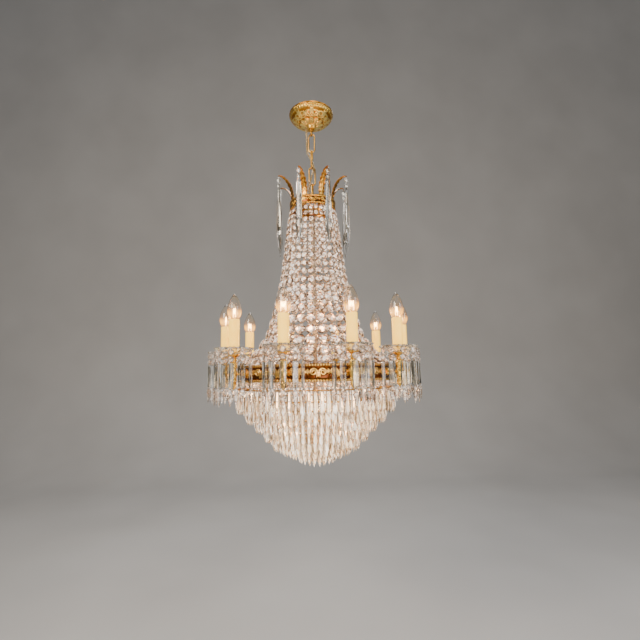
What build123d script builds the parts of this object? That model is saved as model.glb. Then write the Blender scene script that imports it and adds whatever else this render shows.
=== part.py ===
"""Crystal basket chandelier on a chain: canopy, crown with eight plumes, strung tent, ten candles, prism basket.

Millimetres, +Z up. The origin is the middle of the ceiling strap's upper face, so the whole object hangs
below Z = 0. Angles are measured around +Z from the front, which is -Y, and positive towards +X.
"""
import os
from math import atan2, cos, degrees, hypot, pi, radians, sin, tan

from build123d import *

SEAT = 0.3                  # air between two pieces that only rest against each other

# --- ceiling fitting ---------------------------------------------------------------------------------
STRAP_LENGTH = 112.0
STRAP_WIDTH = 20.0
STRAP_THICKNESS = 3.0
SCREW_SPACING = 90.0
SCREW_HOLE_DIAMETER = 5.5
ROD_DIAMETER = 9.8          # M10 threaded rod
ROD_HOLE_CLEARANCE = 0.1
NUT_ACROSS_FLATS = 16.0
NUT_HEIGHT = 5.0
CANOPY_DIAMETER = 134.0
CANOPY_DEPTH = 48.0
CANOPY_WALL = 2.0
CANOPY_RIM_HEIGHT = 4.0
CANOPY_BOWL_DEPTH = 38.5     # from the ceiling down to where the neck starts
CANOPY_NECK_RADIUS = 12.4
CABLE_DIAMETER = 6.0
CABLE_HOLE_CLEARANCE = 0.3
CABLE_HOLE_OFFSET = 16.0    # from the rod's axis
LOOP_NUT_DIAMETER = 17.0
LOOP_NUT_HEIGHT = 6.0
LOOP_RING_RADIUS = 7.5      # to the middle of its wire
LOOP_WIRE = 4.0
BLOCK_SIZE = (26.0, 17.0, 15.0)
BLOCK_OFFSET = 31.0

# --- chain and supply cable --------------------------------------------------------------------------
LINK_COUNT = 4
LINK_LENGTH = 62.0
LINK_WIDTH = 22.0
LINK_WIRE = 4.2
CHAIN_TURN = -12.0          # the first link's plane, turned from the front view
SWING_GAP = 3.4             # between two stretches of cable, at each hinge of the chain

# --- crown -------------------------------------------------------------------------------------------
CROWN_RADIUS = 66.5         # outer face of the band
CROWN_HEIGHT = 25.0
CROWN_WALL = 3.0
CROWN_MOULDING = 1.4        # how far its two mouldings stand proud
HUB_RADIUS = 14.0
CROWN_HUB_THICKNESS = 6.0
CROWN_SPOKES = 4
SPOKE_WIDTH = 7.0
SPOKE_THICKNESS = 3.0
PLUME_COUNT = 8
PLUME_TIP_RADIUS = 108.0
PLUME_RISE = 66.0           # tip above the band's top edge
PLUME_THICKNESS = 2.6
PLUME_WIDTH = 18.0
CROWN_BALL = 13.0
CROWN_CAP = 11.5
SPEAR_LENGTH = 186.0
SPEAR_WIDTH = 21.0
SPEAR_DEPTH = 12.0
DROP_PIN = 3.6              # length of the pins in a crown drop
TUBE_DIAMETER = 12.0
TUBE_WALL = 1.5

# --- strung tent -------------------------------------------------------------------------------------
STRAND_COUNT = 30
OCTAGON_SIZES = [14, 14, 15, 16, 16, 16, 16, 18, 18, 19, 20, 21, 22, 24, 25, 27, 30, 30, 26]
OCTAGON_FATNESS = 0.42      # thickness over size
OCTAGON_TABLE = 0.5         # flat middle over size
CLIP_WIDTH = 2.2
CLIP_THICKNESS = 1.2
TENT_DEPTH = 454.0          # crown band's lower edge to the main band's top
TENT_BULGE = [(7.0, 34.0), (15.5, 109.0), (25.5, 195.0), (42.5, 278.0), (66.5, 369.5), (102.0, 423.0)]

# --- main band and candles ---------------------------------------------------------------------------
BAND_RADIUS = 216.0
BAND_HEIGHT = 41.5
BAND_WALL = 4.0
BAND_MOULDING = 3.0
BAND_MOULDING_HEIGHT = 4.5
BAND_FLANGE = 12.0
BAND_FLANGE_THICKNESS = 2.5
BAND_SPOKES = 5
BAND_HUB_THICKNESS = 10.0
CANDLE_COUNT = 10
CANDLE_REACH = 34.0         # candles outside the band's face
STEM_TOP_ABOVE_BAND = 27.0  # cup of each candle stem above the band's top
STEM_BALL = 17.0
STEM_LENGTH = 85.0
ARM_WIDTH = 10.0
ARM_HEIGHT = 17.0
BOBECHE_RADIUS = 48.5
BOBECHE_DEPTH = 16.0
BOBECHE_GLASS = 4.0
SLEEVE_DIAMETER = 26.0
SLEEVE_WALL = 1.2
SLEEVE_LENGTH = 82.5
HOLDER_DIAMETER = 22.4
HOLDER_LENGTH = 72.0
CAP_DIAMETER = 14.0         # small screw cap of a candle bulb
CAP_LENGTH = 23.0
CAP_CLEARANCE = 0.4
BULB_DIAMETER = 35.0
BULB_LENGTH = 98.0
BULB_GLASS = 0.8
BULB_TIP_ABOVE_SLEEVE = 64.0

# --- strings under each bobeche ----------------------------------------------------------------------
STRING_RADIUS = 45.0
STRING_ANGLES = [18, 54, 90, 124, -18, -54, -90, -124]
STRING_OCTAGON = 14.0
STRING_CLIP = 2.6
BAGUETTE = (15.0, 5.0, 58.0)
DROP_WIDTH = 16.5
DROP_LENGTH = 39.0
DROP_FLATNESS = 0.5         # depth over width

# --- ball row and prism basket -----------------------------------------------------------------------
BALL_DIAMETER = 12.5
BALL_HEIGHT = 14.0
BALL_COUNT = 90
HOOP_WIDTH = 4.0
HOOP_HEIGHT = 7.0
WIRE_HOOP = 4.0
PRISM_LENGTH = 60.0
PRISM_WIDTH = 13.0
PRISM_DEPTH = 9.5
BALL_RING_INSET = 3.0       # ball row and first hoop inside the band's face
PRISM_PITCH = 14.0          # least room for one prism along its hoop
TIER_SHARES = [(1.0, 0.0, 90), (0.8826, 27.0, 80), (0.7676, 50.0, 70), (0.6526, 76.0, 60), (0.5423, 100.0, 50),
               (0.4272, 114.0, 40), (0.3192, 125.0, 30), (0.2113, 137.0, 20),
               (0.0939, 145.0, 8)]          # share of the first hoop's radius, drop, most prisms
RIB_COUNT = 5
RIB_THICKNESS = 3.0
RIB_DEPTH = 7.0
PLATE_RADIUS = 14.0
PLATE_THICKNESS = 5.0

# --- places that follow from the sizes ---------------------------------------------------------------
CANOPY_RADIUS = CANOPY_DIAMETER / 2
LOOP_TOP = -CANOPY_DEPTH
CANDLE_RADIUS = BAND_RADIUS + CANDLE_REACH
TIERS = [(share * (BAND_RADIUS - BALL_RING_INSET), drop, count) for share, drop, count in TIER_SHARES]
LOOP_RING_Z = LOOP_TOP - LOOP_NUT_HEIGHT - LOOP_RING_RADIUS
LINK_REACH = LINK_LENGTH - LINK_WIRE                    # between the middles of its two end wires
HINGE_HEIGHTS = [LOOP_RING_Z - LOOP_RING_RADIUS]
LINK_TOPS = []
for link_number in range(LINK_COUNT):
    held_by = LOOP_WIRE if link_number == 0 else LINK_WIRE
    LINK_TOPS.append(HINGE_HEIGHTS[-1] + (held_by + LINK_WIRE) / 2 + SEAT)
    HINGE_HEIGHTS.append(LINK_TOPS[-1] - LINK_REACH)
CROWN_LOOP_TOP = HINGE_HEIGHTS[-1] + (LINK_WIRE + LOOP_WIRE) / 2 + SEAT
CROWN_HUB_TOP = CROWN_LOOP_TOP - 2 * LOOP_RING_RADIUS - LOOP_WIRE / 2
CROWN_TOP = CROWN_HUB_TOP + 8.6
CROWN_BOTTOM = CROWN_TOP - CROWN_HEIGHT
BAND_TOP = CROWN_BOTTOM - TENT_DEPTH
BAND_BOTTOM = BAND_TOP - BAND_HEIGHT
STEM_TOP = BAND_TOP + STEM_TOP_ABOVE_BAND
SLEEVE_FOOT = STEM_TOP + BOBECHE_GLASS
SLEEVE_TOP = SLEEVE_FOOT + SLEEVE_LENGTH
BULB_TIP = SLEEVE_TOP + BULB_TIP_ABOVE_SLEEVE
BULB_FOOT = BULB_TIP - BULB_LENGTH
HOOP_TOP = BAND_BOTTOM - BALL_HEIGHT - 2 * SEAT
PRISM_TOP = HOOP_TOP - HOOP_HEIGHT - SEAT
CANDLE_ANGLES = [360.0 / CANDLE_COUNT * (number + 0.5) for number in range(CANDLE_COUNT)]
PLUME_ANGLES = [360.0 / PLUME_COUNT * (number + 0.5) for number in range(PLUME_COUNT)]


# --- helpers -----------------------------------------------------------------------------------------
def turned(outline):
    """A turned piece from its (radius, height) outline."""
    points = [(radius, 0, height) for radius, height in outline]
    return revolve(make_face(Polyline(*points, close=True)), Axis.Z)


def around(shape, angles):
    """Copies of a piece made at the front, one at each angle."""
    return [shape.moved(Location((0, 0, 0), (0, 0, angle))) for angle in angles]


def evenly(count, first=0.0):
    """Angles of so many places evenly round a full turn."""
    return [first + 360.0 * number / count for number in range(count)]


def faceted(rings):
    """A solid with flat facets through rings of corners, lowest ring first."""
    count = len(rings[0])
    facets = [rings[0], rings[-1]]
    for lower, upper in zip(rings, rings[1:]):
        for corner in range(count):
            after = (corner + 1) % count
            a, b, c, d = lower[corner], lower[after], upper[after], upper[corner]
            lift = (b - a).cross(c - a).dot(d - a)
            facets += [[a, b, c, d]] if abs(lift) < 1e-6 else [[a, b, c], [a, c, d]]
    solid = Solid(Shell([Face(Wire.make_polygon(facet, close=True)) for facet in facets]))
    return solid if solid.volume > 0 else Solid(solid.wrapped.Reversed())


def cut_stone(girdles, sides, flatness=1.0):
    """A stone with flat facets between its girdles, each given as (height, width)."""
    step = 2 * pi / sides
    start = step / 2 if sides > 4 else 0.0
    reach = cos(step / 2) if sides > 4 else 1.0
    rings = []
    for height, width in girdles:
        half = width / 2 / reach
        corners = [start + step * corner for corner in range(sides)]
        rings.append([Vector(half * cos(a), flatness * half * sin(a), height) for a in corners])
    return faceted(rings)


def octagon(size):
    """An octagon crystal that hangs at the origin, with its flat faces to the front and back."""
    half = OCTAGON_FATNESS * size / 2
    table = OCTAGON_TABLE * size
    return Rot(90, 0, 0) * cut_stone([(-half, table), (0, size), (half, table)], 8)


def box_between(low, high):
    """A block from its lowest corner to its highest."""
    size = [b - a for a, b in zip(low, high)]
    return Pos(*[(a + b) / 2 for a, b in zip(low, high)]) * Box(*size)


def oval_link(length, width, wire):
    """A chain link in the XZ plane, centred."""
    reach = width / 2 - wire / 2
    straight = length / 2 - width / 2
    path = (Line((-reach, 0, -straight), (-reach, 0, straight))
            + ThreePointArc((-reach, 0, straight), (0, 0, straight + reach), (reach, 0, straight))
            + Line((reach, 0, straight), (reach, 0, -straight))
            + ThreePointArc((reach, 0, -straight), (0, 0, -straight - reach), (-reach, 0, -straight)))
    return sweep(Plane((-reach, 0, 0), z_dir=(0, 0, 1)) * Circle(wire / 2), path)


def eye(ring_z):
    """The ring of a loop, standing in the YZ plane before the chain's own turn."""
    return Pos(0, 0, ring_z) * Rot(0, 90, 0) * Torus(LOOP_RING_RADIUS, LOOP_WIRE / 2)


def save(name, shape):
    """One STEP file for each node, without the flat curves on faces when all its faces are flat."""
    solids = list(shape) if isinstance(shape, (list, ShapeList)) else shape.solids()
    node = solids[0] if len(solids) == 1 else Compound(solids)
    node.label = name
    curved = any(face.geom_type != GeomType.PLANE for face in solids[0].faces())
    export_step(node, os.path.join("parts", name + ".step"), write_pcurves=curved)


# --- ceiling fitting ---------------------------------------------------------------------------------
def make_ceiling():
    strap = box_between((-STRAP_LENGTH / 2, -STRAP_WIDTH / 2, -STRAP_THICKNESS),
                        (STRAP_LENGTH / 2, STRAP_WIDTH / 2, 0))
    for side in (-1, 1):
        strap -= Pos(side * SCREW_SPACING / 2, 0, 0) * Cylinder(SCREW_HOLE_DIAMETER / 2, 4 * STRAP_THICKNESS)
    rod_hole = ROD_DIAMETER / 2 + ROD_HOLE_CLEARANCE
    strap -= Cylinder(rod_hole, 4 * STRAP_THICKNESS)
    save("ceiling_strap", strap)

    rod_foot = LOOP_TOP - LOOP_NUT_HEIGHT / 2
    save("threaded_rod", box_between((-1, -1, rod_foot), (1, 1, 0)) + turned(
        [(0, 0), (ROD_DIAMETER / 2, 0), (ROD_DIAMETER / 2, rod_foot), (0, rod_foot)]))
    nut = extrude(RegularPolygon(NUT_ACROSS_FLATS / 2, 6, major_radius=False), NUT_HEIGHT)
    nut -= Cylinder(rod_hole, 4 * NUT_HEIGHT)
    nut_tops = [-STRAP_THICKNESS, LOOP_TOP + CANOPY_WALL + NUT_HEIGHT]
    save("lock_nuts", [Pos(0, 0, top - NUT_HEIGHT) * nut.solid() for top in nut_tops])

    save("canopy", make_canopy(rod_hole))
    loop_nut = turned([(0, LOOP_TOP), (LOOP_NUT_DIAMETER / 2, LOOP_TOP),
                       (LOOP_NUT_DIAMETER / 2, LOOP_TOP - 0.6 * LOOP_NUT_HEIGHT),
                       (LOOP_WIRE, LOOP_TOP - LOOP_NUT_HEIGHT - 1), (0, LOOP_TOP - LOOP_NUT_HEIGHT - 1)])
    loop_nut += Rot(0, 0, CHAIN_TURN) * eye(LOOP_RING_Z)
    loop_nut -= Pos(0, 0, rod_foot) * Cylinder(rod_hole, LOOP_NUT_HEIGHT, align=(Align.CENTER, Align.CENTER,
                                                                                Align.MIN))
    save("loop_nut", loop_nut)
    length, width, height = BLOCK_SIZE
    block_top = -STRAP_THICKNESS
    save("terminal_block", box_between((BLOCK_OFFSET - length / 2, -width / 2, block_top - height),
                                       (BLOCK_OFFSET + length / 2, width / 2, block_top)))


def make_canopy(rod_hole):
    """A shallow spun and cast bowl with an upright rim, then a short neck with a flat seat for the loop nut."""
    shares = [(0.97, 0.24), (0.895, 0.42), (0.75, 0.63), (0.57, 0.79), (0.36, 0.92)]     # of radius, of bowl depth
    outer = [(CANOPY_RADIUS, 0), (CANOPY_RADIUS, -CANOPY_RIM_HEIGHT)]
    outer += [(across * CANOPY_RADIUS, -down * CANOPY_BOWL_DEPTH) for across, down in shares]
    outer += [(CANOPY_NECK_RADIUS + 1.6, -CANOPY_BOWL_DEPTH), (CANOPY_NECK_RADIUS, -CANOPY_DEPTH)]
    inner = [(max(radius - 1.3 * CANOPY_WALL, rod_hole + 1), height + CANOPY_WALL) for radius, height in outer[2:]]
    inner_rim = [(CANOPY_RADIUS - CANOPY_WALL, -CANOPY_RIM_HEIGHT), (CANOPY_RADIUS - CANOPY_WALL, 0)]
    bottom = [(rod_hole, -CANOPY_DEPTH), (rod_hole, CANOPY_WALL - CANOPY_DEPTH)]
    canopy = turned(outer + bottom + inner[::-1] + inner_rim)
    hole = Cylinder(CABLE_DIAMETER / 2 + CABLE_HOLE_CLEARANCE, CANOPY_DEPTH)
    return canopy - Rot(0, 0, CHAIN_TURN) * Pos(-CABLE_HOLE_OFFSET, 0, -CANOPY_DEPTH) * hole


# --- chain and cable ---------------------------------------------------------------------------------
def make_chain():
    link = oval_link(LINK_LENGTH, LINK_WIDTH, LINK_WIRE)
    for number, top in enumerate(LINK_TOPS):
        quarter = 90.0 * (number % 2)
        middle = top - LINK_REACH / 2
        save(f"chain_link_{number + 1}", Pos(0, 0, middle) * Rot(0, 0, CHAIN_TURN + quarter) * link)


def cable_route():
    """Route of the supply cable beside and through the links, in the first link's own plane."""
    beside = LINK_WIDTH / 2 + CABLE_DIAMETER / 2 + SEAT         # outside a link that is seen face on
    across = LINK_WIRE / 2 + CABLE_DIAMETER / 2 + SEAT          # beside a link that is seen edge on
    hinge = HINGE_HEIGHTS
    return [(-CABLE_HOLE_OFFSET, 0, -CANOPY_DEPTH + 14), (-CABLE_HOLE_OFFSET, 0, LOOP_TOP - 9),
            (-beside - 0.4, 0, hinge[0] - 12), (-beside - 0.2, -0.6, hinge[1] + 18),
            (-beside + 0.6, -3.0, hinge[1] - 2), (0.4, 0.8, (hinge[1] + hinge[2]) / 2),
            (across + 2.2, -across - 2.0, hinge[2] - 4), (-0.6, -across - 1.6, (hinge[2] + hinge[3]) / 2),
            (-across - 3.2, -across - 1.0, hinge[3] - 2), (-across - 3.4, -4.6, (hinge[3] + hinge[4]) / 2),
            (-across - 2.2, -5.6, hinge[4] - 1), (-across - 1.6, -5.8, CROWN_HUB_TOP + SEAT)]


def make_cable():
    points = [Vector(*point) for point in cable_route()]
    radii = []
    for before, corner, after in zip(points, points[1:], points[2:]):
        turn = (corner - before).get_angle(after - corner)
        shorter = min((corner - before).length, (after - corner).length)
        radii.append(0.45 * shorter / tan(radians(turn / 2)))
    print("cable radii", [round(radius) for radius in radii])
    path = FilletPolyline(*points, radius=radii)
    print("cable length", round(path.length, 1))
    start = Plane(points[0], z_dir=points[1] - points[0])
    cable = sweep(start * Circle(CABLE_DIAMETER / 2), path).solid()
    cable = Rot(0, 0, CHAIN_TURN) * cable
    names = ["cable_ceiling"] + [f"cable_link_{number + 1}" for number in range(LINK_COUNT)] + ["cable_crown"]
    cuts = [0.0] + HINGE_HEIGHTS + [CROWN_HUB_TOP - 10]
    reach = 2 * LINK_WIDTH
    for name, top, bottom in zip(names, cuts, cuts[1:]):
        slab = box_between((-reach, -reach, bottom + SWING_GAP / 2), (reach, reach, top - SWING_GAP / 2))
        save(name, (cable & slab).solids())


# --- crown -------------------------------------------------------------------------------------------
def make_crown():
    hook = Rot(0, 0, CHAIN_TURN + 90.0 * ((LINK_COUNT + 1) % 2)) * eye(CROWN_LOOP_TOP - LOOP_RING_RADIUS)
    shank = LOOP_WIRE / 2 + 1
    hub_bottom = CROWN_HUB_TOP - CROWN_HUB_THICKNESS
    hook += Pos(0, 0, hub_bottom) * Cylinder(shank, CROWN_HUB_THICKNESS + LOOP_WIRE, align=(
        Align.CENTER, Align.CENTER, Align.MIN))
    save("crown_hook", hook)

    hub = Pos(0, 0, (CROWN_HUB_TOP + hub_bottom) / 2) * Cylinder(HUB_RADIUS, CROWN_HUB_THICKNESS)
    inside = CROWN_RADIUS - CROWN_WALL
    spoke = box_between((-SPOKE_WIDTH / 2, -inside + SEAT, hub_bottom),
                        (SPOKE_WIDTH / 2, -HUB_RADIUS / 2, hub_bottom + SPOKE_THICKNESS))
    spider = hub
    for arm in around(spoke, evenly(CROWN_SPOKES, 45)):
        spider += arm
    spider -= Pos(0, 0, hub_bottom) * Cylinder(shank + SEAT / 3, 4 * CROWN_HUB_THICKNESS)
    save("crown_spider", spider)

    edge = CROWN_RADIUS + CROWN_MOULDING
    rim = 3 * CROWN_MOULDING
    save("crown_band", turned([
        (inside, CROWN_TOP), (edge, CROWN_TOP), (edge, CROWN_TOP - rim), (CROWN_RADIUS, CROWN_TOP - rim - 1),
        (CROWN_RADIUS, CROWN_BOTTOM + rim + 1), (edge, CROWN_BOTTOM + rim), (edge, CROWN_BOTTOM),
        (inside, CROWN_BOTTOM)]))
    save("plume_arms", around(make_plume(), PLUME_ANGLES))

    drop, pivot = make_crown_drop()
    for number, piece in enumerate(PLUME_ANGLES):
        save(f"crown_drop_{number + 1}", around(Compound(drop), [piece])[0].solids())
    print("crown drops swing at radius", round(PLUME_TIP_RADIUS, 2), "height", round(pivot, 2))

    tube_top = hub_bottom
    tube_foot = BAND_BOTTOM - TIERS[-1][1] - PLATE_THICKNESS
    outer = TUBE_DIAMETER / 2
    save("centre_tube", turned([(outer - TUBE_WALL, tube_top), (outer, tube_top), (outer, tube_foot),
                                (outer - TUBE_WALL, tube_foot)]))


def plume_line():
    """Middle line of a plume in its own plane, as (radius, height), from its foot to its tip."""
    foot = CROWN_RADIUS - CROWN_WALL - SEAT - PLUME_THICKNESS / 2
    rise = PLUME_RISE / 66.0
    spread = PLUME_TIP_RADIUS - foot
    return [(foot, CROWN_TOP - 8), (foot, CROWN_TOP + 8 * rise), (foot + 0.04 * spread, CROWN_TOP + 22 * rise),
            (foot + 0.15 * spread, CROWN_TOP + 38 * rise), (foot + 0.34 * spread, CROWN_TOP + 53 * rise),
            (foot + 0.62 * spread, CROWN_TOP + 64 * rise), (foot + 0.85 * spread, CROWN_TOP + 67 * rise),
            (foot + spread, CROWN_TOP + 66 * rise)]


def make_plume():
    """One acanthus arm: a curved leaf, widest below its middle, made of straight stretches."""
    line = plume_line()
    widths = [0.55, 0.72, 0.95, 1.0, 0.88, 0.64, 0.42, 0.24]
    rings = []
    for number, ((radius, height), share) in enumerate(zip(line, widths)):
        before = line[max(number - 1, 0)]
        after = line[min(number + 1, len(line) - 1)]
        run = hypot(after[0] - before[0], after[1] - before[1])
        out = PLUME_THICKNESS / 2 * (after[1] - before[1]) / run
        up = PLUME_THICKNESS / 2 * (after[0] - before[0]) / run
        half = share * PLUME_WIDTH / 2
        rings.append([Vector(-half, -radius - out, height - up), Vector(half, -radius - out, height - up),
                      Vector(half, -radius + out, height + up), Vector(-half, -radius + out, height + up)])
    return faceted(rings)


def make_crown_drop():
    """Ball, cap bead and spear prism that hang from a plume's tip, with their pins, and the pivot's height."""
    tip = plume_line()[-1][1] - PLUME_THICKNESS / 2
    pieces = []
    height = tip - SEAT

    def pin(top):
        low = (-CLIP_WIDTH / 2, -CLIP_THICKNESS / 2, top - DROP_PIN)
        pieces.append(box_between(low, (CLIP_WIDTH / 2, CLIP_THICKNESS / 2, top)).solid())
        return top - DROP_PIN - SEAT

    def bead(top, size):
        waist = 0.36 * size
        pieces.append(Pos(0, 0, top - size / 2) * cut_stone(
            [(-size / 2, waist), (-0.22 * size, 0.94 * size), (0.22 * size, 0.94 * size), (size / 2, waist)], 8))
        return top - size - SEAT

    height = pin(height)
    height = bead(height, CROWN_BALL)
    height = pin(height)
    height = bead(height, CROWN_CAP)
    shoulder = 0.63 * SPEAR_LENGTH
    girdles = [(-SPEAR_LENGTH, 2), (-shoulder - 22, SPEAR_WIDTH), (-shoulder, 0.97 * SPEAR_WIDTH),
               (-5, 0.56 * SPEAR_WIDTH), (0, 0.4 * SPEAR_WIDTH)]
    pieces.append(Pos(0, 0, height) * cut_stone(girdles, 4, SPEAR_DEPTH / SPEAR_WIDTH))
    placed = [Pos(0, -PLUME_TIP_RADIUS + 2, 0) * piece for piece in pieces]
    return placed, tip


# --- strung tent -------------------------------------------------------------------------------------
def strand_points():
    """Corners of one strand's line, as (radius, height), from the crown band down to the main band."""
    start = CROWN_RADIUS - CROWN_WALL / 2
    end = BAND_RADIUS - BAND_FLANGE + 3
    middle = [(start + out, CROWN_BOTTOM - down) for out, down in TENT_BULGE]
    return [(start, CROWN_BOTTOM - SEAT)] + middle + [(end, BAND_TOP + SEAT)]


def along_strand(distance):
    """The place on the strand's line at a distance from its top."""
    points = strand_points()
    for (r0, z0), (r1, z1) in zip(points, points[1:]):
        run = hypot(r1 - r0, z1 - z0)
        if distance <= run or (r1, z1) == points[-1]:
            share = distance / run
            return r0 + share * (r1 - r0), z0 + share * (z1 - z0)
        distance -= run
    return points[-1]


def hang(shape, start, end):
    """Sets a piece at the middle of a stretch of the strand, in line with it."""
    r0, z0 = along_strand(start)
    r1, z1 = along_strand(end)
    tilt = degrees(atan2(r1 - r0, z0 - z1))
    return Pos(0, -(r0 + r1) / 2, (z0 + z1) / 2) * Rot(-tilt, 0, 0) * shape


def clip(length):
    """A brass clip between two crystals, one seat gap short at each end."""
    return Box(CLIP_WIDTH, CLIP_THICKNESS, length - 2 * SEAT).solid()


def make_tent():
    points = strand_points()
    total = sum(hypot(b[0] - a[0], b[1] - a[1]) for a, b in zip(points, points[1:]))
    gap = (total - sum(OCTAGON_SIZES)) / (len(OCTAGON_SIZES) + 1)
    print("strand length", round(total, 1), "gap between octagons", round(gap, 2))
    angles = evenly(STRAND_COUNT, 180.0 / STRAND_COUNT)
    groups = {"octagons_small": [], "octagons_medium": [], "octagons_large": []}
    limits = {"octagons_small": 7, "octagons_medium": 13, "octagons_large": len(OCTAGON_SIZES)}
    clips = []
    place = 0.0
    for row, size in enumerate(OCTAGON_SIZES):
        clips += around(hang(clip(gap), place, place + gap), angles)
        place += gap
        name = next(name for name, limit in limits.items() if row < limit)
        groups[name] += around(hang(octagon(size), place, place + size), angles)
        place += size
    clips += around(hang(clip(gap), place, place + gap), angles)
    for name, crystals in groups.items():
        save(name, crystals)
    return clips


# --- main band ---------------------------------------------------------------------------------------
def make_band():
    inner = BAND_RADIUS - BAND_WALL
    flange = BAND_RADIUS - BAND_FLANGE
    proud = BAND_RADIUS + BAND_MOULDING
    save("main_band", turned([
        (flange, BAND_TOP), (proud, BAND_TOP), (proud, BAND_TOP - BAND_MOULDING_HEIGHT),
        (BAND_RADIUS, BAND_TOP - BAND_MOULDING_HEIGHT - BAND_MOULDING),
        (BAND_RADIUS, BAND_BOTTOM + BAND_MOULDING_HEIGHT + BAND_MOULDING),
        (proud, BAND_BOTTOM + BAND_MOULDING_HEIGHT), (proud, BAND_BOTTOM), (flange, BAND_BOTTOM),
        (flange, BAND_BOTTOM + BAND_FLANGE_THICKNESS), (inner, BAND_BOTTOM + BAND_FLANGE_THICKNESS),
        (inner, BAND_TOP - BAND_FLANGE_THICKNESS), (flange, BAND_TOP - BAND_FLANGE_THICKNESS)]))

    middle = (BAND_TOP + BAND_BOTTOM) / 2
    hub = Pos(0, 0, middle) * Cylinder(HUB_RADIUS, BAND_HUB_THICKNESS)
    spoke = box_between((-SPOKE_WIDTH / 2, -inner + SEAT, middle - SPOKE_THICKNESS),
                        (SPOKE_WIDTH / 2, -HUB_RADIUS / 2, middle + SPOKE_THICKNESS))
    spider = hub
    for arm in around(spoke, evenly(BAND_SPOKES, 180.0 / BAND_SPOKES)):
        spider += arm
    spider -= Pos(0, 0, middle) * Cylinder(TUBE_DIAMETER / 2 + ROD_HOLE_CLEARANCE, 4 * BAND_HUB_THICKNESS)
    save("main_spider", spider)

    pole = 0.4 * BALL_DIAMETER
    ball = cut_stone([(-BALL_HEIGHT / 2, pole), (0, BALL_DIAMETER), (BALL_HEIGHT / 2, pole)], 8)
    ball_z = BAND_BOTTOM - SEAT - BALL_HEIGHT / 2
    save("ball_row", around(Pos(0, -TIERS[0][0], ball_z) * ball, evenly(BALL_COUNT)))


# --- candles -----------------------------------------------------------------------------------------
def make_candles():
    ball = STEM_BALL / 2
    middle = (BAND_TOP + BAND_BOTTOM) / 2
    foot = STEM_TOP - STEM_LENGTH
    pin_top = SLEEVE_FOOT + 8
    pin = ROD_DIAMETER / 2
    stem = turned([
        (0, pin_top), (pin, pin_top), (pin, STEM_TOP), (14, STEM_TOP), (13, STEM_TOP - 3), (6, STEM_TOP - 7),
        (4.8, STEM_TOP - 10), (8, STEM_TOP - 12), (8, STEM_TOP - 14.5), (5.0, STEM_TOP - 16.5),
        (8, STEM_TOP - 21), (8.4, STEM_TOP - 29), (0.75 * ball, middle + ball + 2), (ball, middle + 0.4 * ball),
        (ball, middle - 0.4 * ball), (0.75 * ball, middle - ball - 2), (8.2, middle - ball - 5),
        (8.2, middle - ball - 7.5), (5.6, middle - ball - 10), (7, foot + 14), (4.2, foot + 5), (1.2, foot), (0, foot)])
    at_candle = Pos(0, -CANDLE_RADIUS, 0)
    save("candle_stems", around(at_candle * stem, CANDLE_ANGLES))

    root_y = -BAND_RADIUS - SEAT
    tip_y = -CANDLE_RADIUS + ball + SEAT
    root = Plane((0, root_y, middle), x_dir=(1, 0, 0), z_dir=(0, -1, 0)) * Rectangle(ARM_WIDTH, ARM_HEIGHT)
    tip = Plane((0, tip_y, middle), x_dir=(1, 0, 0), z_dir=(0, -1, 0)) * Rectangle(0.6 * ARM_WIDTH, 0.4 * ball)
    save("candle_arms", around(loft([root, tip], ruled=True).solid(), CANDLE_ANGLES))

    rim = STEM_TOP + BOBECHE_DEPTH
    hole = pin + ROD_HOLE_CLEARANCE
    bobeche = turned([
        (hole, STEM_TOP), (16, STEM_TOP), (34, STEM_TOP + 0.34 * BOBECHE_DEPTH),
        (BOBECHE_RADIUS, rim - BOBECHE_GLASS), (BOBECHE_RADIUS, rim), (BOBECHE_RADIUS - 3, rim),
        (33, STEM_TOP + 0.34 * BOBECHE_DEPTH + BOBECHE_GLASS), (18, SLEEVE_FOOT), (hole, SLEEVE_FOOT)])
    save("bobeches", around(at_candle * bobeche, CANDLE_ANGLES))

    outer = SLEEVE_DIAMETER / 2
    sleeve = turned([(outer - SLEEVE_WALL, SLEEVE_FOOT), (outer, SLEEVE_FOOT), (outer, SLEEVE_TOP),
                     (outer - SLEEVE_WALL, SLEEVE_TOP)])
    save("candle_sleeves", around(at_candle * sleeve, CANDLE_ANGLES))

    shell = HOLDER_DIAMETER / 2
    bore = CAP_DIAMETER / 2 + CAP_CLEARANCE
    holder_top = SLEEVE_FOOT + HOLDER_LENGTH
    floor = BULB_FOOT - CAP_CLEARANCE
    holder = turned([
        (hole, SLEEVE_FOOT), (shell, SLEEVE_FOOT), (shell, holder_top), (bore, holder_top), (bore, floor),
        (0, floor), (0, pin_top + SEAT), (hole, pin_top + SEAT)])
    save("lamp_holders", around(at_candle * holder, CANDLE_ANGLES))
    bulb = make_bulb()
    for number, angle in enumerate(CANDLE_ANGLES):
        save(f"candle_bulb_{number + 1}", [around(at_candle * piece, [angle])[0] for piece in bulb])


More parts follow.
